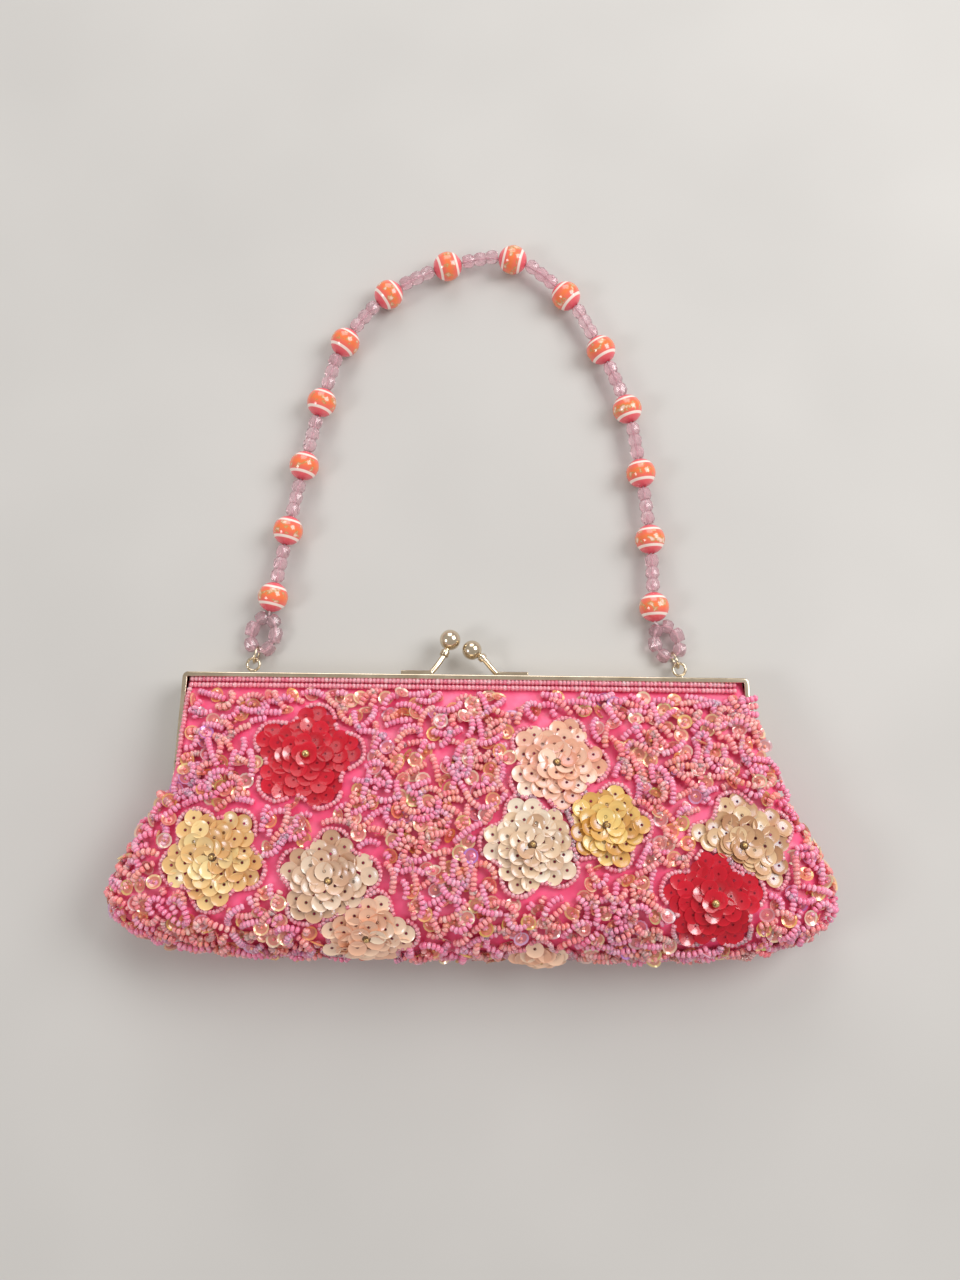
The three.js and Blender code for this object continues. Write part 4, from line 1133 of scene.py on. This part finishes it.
strands = []
laid = FAR_AWAY
for count, tries, beads, arch, bare in STRAND_SORTS:
    for _ in range(count):
        lines, inside = strand_tries(tries, beads, arch)
        fits = (apart(lines, flower_bounds).min(1) > FLOWER_ROOM) & inside.all(1)
        score = np.where(fits, np.minimum(apart(lines, laid), CROWD_REACH).mean(1), -1)
        best = score.argmax()
        if score[best] >= bare:
            strands.append(lines[best])
            laid = np.concatenate([laid, lines[best]])
strands += [shoulder_strand(y) for y in SHOULDER_ROWS]
strand_places = np.concatenate(strands)
for number, (word, palette) in enumerate(STRAND_COLOURS.items()):
    mine = strands[number::len(STRAND_COLOURS)]
    places = np.concatenate(mine)
    axes = np.concatenate([unit(np.gradient(line, axis=0)) for line in mine])
    colours = mixed(palette, len(places))
    bead_piece(f"seed_bead_strands_{word}", places, axes, colours, (1, STRAND_WIDTH, STRAND_WIDTH))

# Loose sequins
# Clear cup sequins with a rainbow film, each held down by one bead between the strands and left free to
# tilt, so that their rims flash gold, orange, green and violet; the rims' bright film colour is partly a
# painted highlight.
LOOSE_SEQUINS = 460
LOOSE_TRIES = 4
LOOSE_RADIUS = 2.4
LOOSE_TILT = np.tan(np.radians(30)) * 0.7
LOOSE_LIFT = (0.5, 2.3)
LOOSE_ROOM = 2.7
# How far off the nearest sequin and the nearest strand still count as close.
LOOSE_CROWD_REACH = 6
LOOSE_STRAND_REACH = 2
LOOSE_COLOURS = ("#ffc968", "#ffe08a", "#ff9c50", "#d2d868", "#fff2c8", "#c88af0", "#fff0d8")
LOOSE_EVENNESS = 0.25
LOOSE_GROUND = "#de6c68"
LOOSE_RINGS = [(0.35, 0.0), (1.1, 0.05), (1.72, 0.2), (1.9, 0.28), (LOOSE_RADIUS, 0.56)]
# How much of each ring shows the film's colour instead of the pink seen through it. The full film colour at
# the rim is partly a painted highlight, standing for the light that the raised rim catches.
LOOSE_FILM_AND_RIM_HIGHLIGHT = (0.6, 0.25, 0.2, 0.95, 1.0)
LOOSE_SIDES = 12
LOOSE_BEADS = ("#f27a94", "#e8607e", "#f6a088", "#d89a5c")
LOOSE_BEAD_SIZE = 0.62
LOOSE_BEAD_LIFT = 0.3

# Clear rainbow-coated plastic: mostly see-through, with a coloured film whose colour is painted strongest
# at the rim as a painted highlight.
rainbow, tree, shader = new_material(
    "rainbow_coated_sequin_plastic", Roughness=0.22, Metallic=0.25, Coat_Weight=0.6, Coat_IOR=2.0,
    Coat_Roughness=0.08, Alpha=0.78)
feed(tree, shader, Base_Color=stored_tint(tree)["Color"])

loose_out = []
laid = FAR_AWAY
for _ in range(LOOSE_SEQUINS):
    r, c = ground_spots(LOOSE_TRIES)
    here = satin[r, c] + rng.uniform(*LOOSE_LIFT) * satin_out[r, c]
    score = np.minimum(apart(here, laid), LOOSE_CROWD_REACH)
    score = score + np.minimum(apart(here, strand_places), LOOSE_STRAND_REACH)
    fits = (apart(here, flower_bounds) > LOOSE_ROOM) & ~over_arm(here, LOOSE_RADIUS)
    best = np.where(fits, score, -1).argmax()
    if fits[best]:
        loose_out.append(satin_out[r[best], c[best]])
        laid = np.concatenate([laid, here[best:best + 1]])
loose_places = laid[1:]
loose_out = np.array(loose_out)
loose_normal = unit(loose_out + LOOSE_TILT * rng.normal(size=loose_out.shape))
loose_axis = turned_at_random(loose_normal)
shape = repeated(cup_sequin(LOOSE_RINGS, LOOSE_SIDES), loose_places, loose_axis, loose_normal)
loose = put_piece("loose_sequins", shape, rainbow)
# The rim rings carry the full film colour as a painted highlight; the rest mixes in the pink seen through.
film_and_rim_highlight = np.repeat(LOOSE_FILM_AND_RIM_HIGHLIGHT, LOOSE_SIDES)[None, :, None]
rims = mixed(LOOSE_COLOURS, len(loose_places), LOOSE_EVENNESS)[:, None]
colours = film_and_rim_highlight * rims + (1 - film_and_rim_highlight) * linear(LOOSE_GROUND)[:3]
tint(loose, colours.reshape(-1, 3))
colours = mixed(LOOSE_BEADS, len(loose_places))
held_at = loose_places + LOOSE_BEAD_LIFT * loose_normal
bead_piece("loose_sequin_beads", held_at, loose_axis, colours, LOOSE_BEAD_SIZE)

# Jump rings
# Small nickel-plated wire rings that link the handle's end loops to the eyes.
JUMP_RING_RADIUS = 2.7
JUMP_RING_WIRE = 0.4
JUMP_RING_HEIGHT = 3.3
EYE_TO_LOOP = 2.55
ROUND_BEADS = 14

bead_boxes = [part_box(f"bead_round_{i + 1:02d}") for i in range(ROUND_BEADS)]
bead_centres = np.array([(np.array(low) + np.array(high)) / 2 / MM - BAG for low, high in bead_boxes])
bead_along = unit(np.gradient(bead_centres, axis=0))
handle_ends = []
for hand, word, last in ((-1, "left", 0), (1, "right", -1)):
    eye_centre = np.array([hand * EYE_SPREAD, EYE_REACH, 0.0])
    way = unit((bead_centres[last] - eye_centre) * (1, 1, 0))
    aside = np.array([way[1], -way[0], 0.0])
    handle_ends.append((eye_centre, way, aside, bead_centres[last], hand * bead_along[last]))
    middle = eye_centre + (EYE_RADIUS + EYE_TO_LOOP / 2) * way + JUMP_RING_HEIGHT * UP
    ring = wire_ring(JUMP_RING_RADIUS, JUMP_RING_WIRE, middle, aside)
    piece = put_piece(f"jump_ring_wire_{word}", ring, nickel, weld=True)
    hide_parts(f"jump_ring_{word}")

# Handle string
# A thread with clear pink faceted beads: three between each pair of round beads, and a loop of six at
# each end that hooks into its jump ring.
ROUND_RADIUS = 5
CLEAR_OF_BEAD = 5.4
SPACERS = 3
SPACER_RADIUS = 2.35
SPACER_END = 1.75
SPACER_SIDES = 8
# A cut bead's rings of corners: place along it, radius, and turn in facets.
SPACER_RINGS = (
    (-0.48, SPACER_END, 0), (-0.2, SPACER_RADIUS, 0.5), (0.2, SPACER_RADIUS, 0), (0.48, SPACER_END, 0.5),
)
LOOP_HEIGHT = 2.6
LOOP_HALF_WIDTH = 4
LOOP_TO_BEAD = 6.7
LOOP_BARE = 19
LOOP_TOP = 176
LOOP_STEPS = 60
THREAD_RADIUS = 0.3


def faceted_bead():
    """A cut bead of length 1: four rings of corners, each turned half a facet from the one before."""
    side = np.arange(SPACER_SIDES)
    place, radius, shift = np.array(SPACER_RINGS).T[..., None]
    turn = (side + shift) * 2 * np.pi / SPACER_SIDES
    points = np.stack(np.broadcast_arrays(place, radius * np.cos(turn), radius * np.sin(turn)), -1)
    facets = []
    for ring, (_, _, turned) in enumerate(SPACER_RINGS[:-1]):
        low = ring * SPACER_SIDES + side
        low_next = ring * SPACER_SIDES + (side + 1) % SPACER_SIDES
        high, high_next = low + SPACER_SIDES, low_next + SPACER_SIDES
        if turned:
            facets += [(low, low_next, high_next), (low, high_next, high)]
        else:
            facets += [(low, low_next, high), (low_next, high_next, high)]
    ends = np.stack([side[::-1], side + 3 * SPACER_SIDES])
    return points.reshape(-1, 3), [*(np.column_stack(corners) for corners in facets), ends]


def loop_at(degrees, middle, length_way, width_way):
    """Places and directions on an end loop, an oval that starts from its foot at the jump ring."""
    turn = np.radians(degrees)[:, None]
    at = middle + np.sin(turn) * width_way - np.cos(turn) * length_way
    return at, unit(np.cos(turn) * width_way + np.sin(turn) * length_way)


def thread(path, endless=False):
    return tube(path, THREAD_RADIUS, THREAD_RADIUS, 8, endless)


# Clear pink acrylic: glassy, cut in flat facets that flash one at a time.
clear_pink, tree, shader = new_material(
    "clear_pink_cut_acrylic", Roughness=0.06, IOR=1.46, Transmission_Weight=0.8, Coat_Weight=0.3)
batch = texture(tree, "Noise", size=14)
feed(tree, shader, Base_Color=ramp(tree, batch, (0.3, "#f9ced8"), (0.7, "#fde2e8")))

# Twisted nylon thread, pale pink and slightly shiny.
nylon, tree, shader = new_material("pale_pink_nylon_thread", Roughness=0.5, Sheen_Weight=0.3)
twist = texture(tree, "Wave", size=0.7, bands_direction="DIAGONAL")
feed(tree, shader, Base_Color=ramp(tree, twist, (0.2, "#dcb3bd"), (0.8, "#f1d9de")))

# Each spacer's place, direction and length: along the straights first, then round the loops.
spacers = []
spacer_share = (np.arange(SPACERS) + 0.5) / SPACERS
for here, along, there, there_along in zip(bead_centres, bead_along, bead_centres[1:], bead_along[1:]):
    leave = here + CLEAR_OF_BEAD * along
    reach = there - CLEAR_OF_BEAD * there_along - leave
    ways = np.tile(unit(reach), (SPACERS, 1))
    lengths = np.full(SPACERS, np.linalg.norm(reach) / SPACERS)
    spacers.append((leave + spacer_share[:, None] * reach, ways, lengths))
threads = [thread(smooth_path(bead_centres, 10))]
for eye_centre, way, aside, first, onward in handle_ends:
    foot = EYE_RADIUS + EYE_TO_LOOP
    top = (first - eye_centre) @ way - LOOP_TO_BEAD
    middle = eye_centre + (foot + top) / 2 * way + LOOP_HEIGHT * UP
    loop = middle, (top - foot) / 2 * way, LOOP_HALF_WIDTH * aside
    for start, stop in ((LOOP_BARE, LOOP_TOP), (360 - LOOP_TOP, 360 - LOOP_BARE)):
        edges, _ = loop_at(np.linspace(start, stop, SPACERS + 1), *loop)
        lengths = np.linalg.norm(np.diff(edges, axis=0), axis=1)
        spacers.append((*loop_at(start + spacer_share * (stop - start), *loop), lengths))
    oval, _ = loop_at(np.linspace(0, 360, LOOP_STEPS, endpoint=False), *loop)
    neck = np.stack([loop[0] + loop[1], first + CLEAR_OF_BEAD * onward, first])
    threads += [thread(oval, endless=True), thread(neck)]
spacer_places, spacer_ways, spacer_lengths = (np.concatenate(held) for held in zip(*spacers))
spacer_ups = turned_at_random(spacer_ways)
spacer_sizes = np.column_stack([spacer_lengths, np.ones((len(spacer_lengths), 2))])
shape = repeated(faceted_bead(), spacer_places, spacer_ways, spacer_ups, spacer_sizes)
string = put_piece("handle_faceted_beads", shape, clear_pink, crease=0)
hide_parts("bead_string")
put_piece("handle_thread", joined(*threads), nylon, weld=True)

# Round beads
# Fourteen drilled resin beads, 10 mm across, with coral ends, a glossy orange middle band flecked with
# foil, and a cream stripe painted each side of the band.
BEAD_BORE = 0.85

# Painted resin: bright coral under thick gloss, with flecks of iridescent foil in the band.
resin, tree, shader = new_material(
    "striped_coral_resin", Roughness=0.16, IOR=1.5, Coat_Weight=0.8, Coat_Roughness=0.04)
latitude = add_node(tree, "ShaderNodeAttribute", attribute_name="latitude").outputs["Fac"]
stripes = ramp(
    tree, latitude,
    (0.0, "#ea5464"), (1.0, "#ea5464"), (0.166, "#f2666e"), (0.184, "#fdeae0"), (0.246, "#fdeae0"),
    (0.264, "#f26a60"), (0.5, "#f57a3e"), (0.736, "#f26a60"), (0.754, "#fdeae0"), (0.816, "#fdeae0"),
    (0.834, "#f2666e"),
)
band = ramp(tree, latitude, (0.26, "#000000"), (0.74, "#000000"), (0.30, "#ffffff"), (0.70, "#ffffff"))
foil = texture(tree, "Noise", size=2.4, values={"Detail": 2.0})
fleck = ramp(tree, foil, (0.53, "#000000"), (0.59, "#dddddd"))
gilt = ramp(tree, foil, (0.53, "#e8943c"), (0.58, "#a8904c"), (0.64, "#dcc49c"), (0.7, "#f8e6dc"))
in_band = add_node(tree, "ShaderNodeMath", links={0: fleck, 1: band}, operation="MULTIPLY")
blend = {"Factor": in_band.outputs["Value"], 6: stripes, 7: gilt}
painted = add_node(tree, "ShaderNodeMix", links=blend, data_type="RGBA")
feed(tree, shader, Base_Color=painted.outputs[2])

mouth = np.arccos(BEAD_BORE / ROUND_RADIUS)
turn = np.linspace(-mouth, mouth, 25)
bead_profile = ROUND_RADIUS * np.column_stack([np.cos(turn), np.sin(turn)])
for i, (centre, along) in enumerate(zip(bead_centres, bead_along)):
    points, faces = lathe(bead_profile, centre, along, 40, closed=True)
    piece = put_piece(f"striped_bead_{i + 1:02d}", (points, faces), resin, crease=60)
    height = (points - centre) @ along
    layer = piece.data.attributes.new("latitude", "FLOAT", "POINT")
    layer.data.foreach_set("value", (0.5 + 0.5 * height / ROUND_RADIUS).astype(np.float32))
    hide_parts(f"bead_round_{i + 1:02d}")
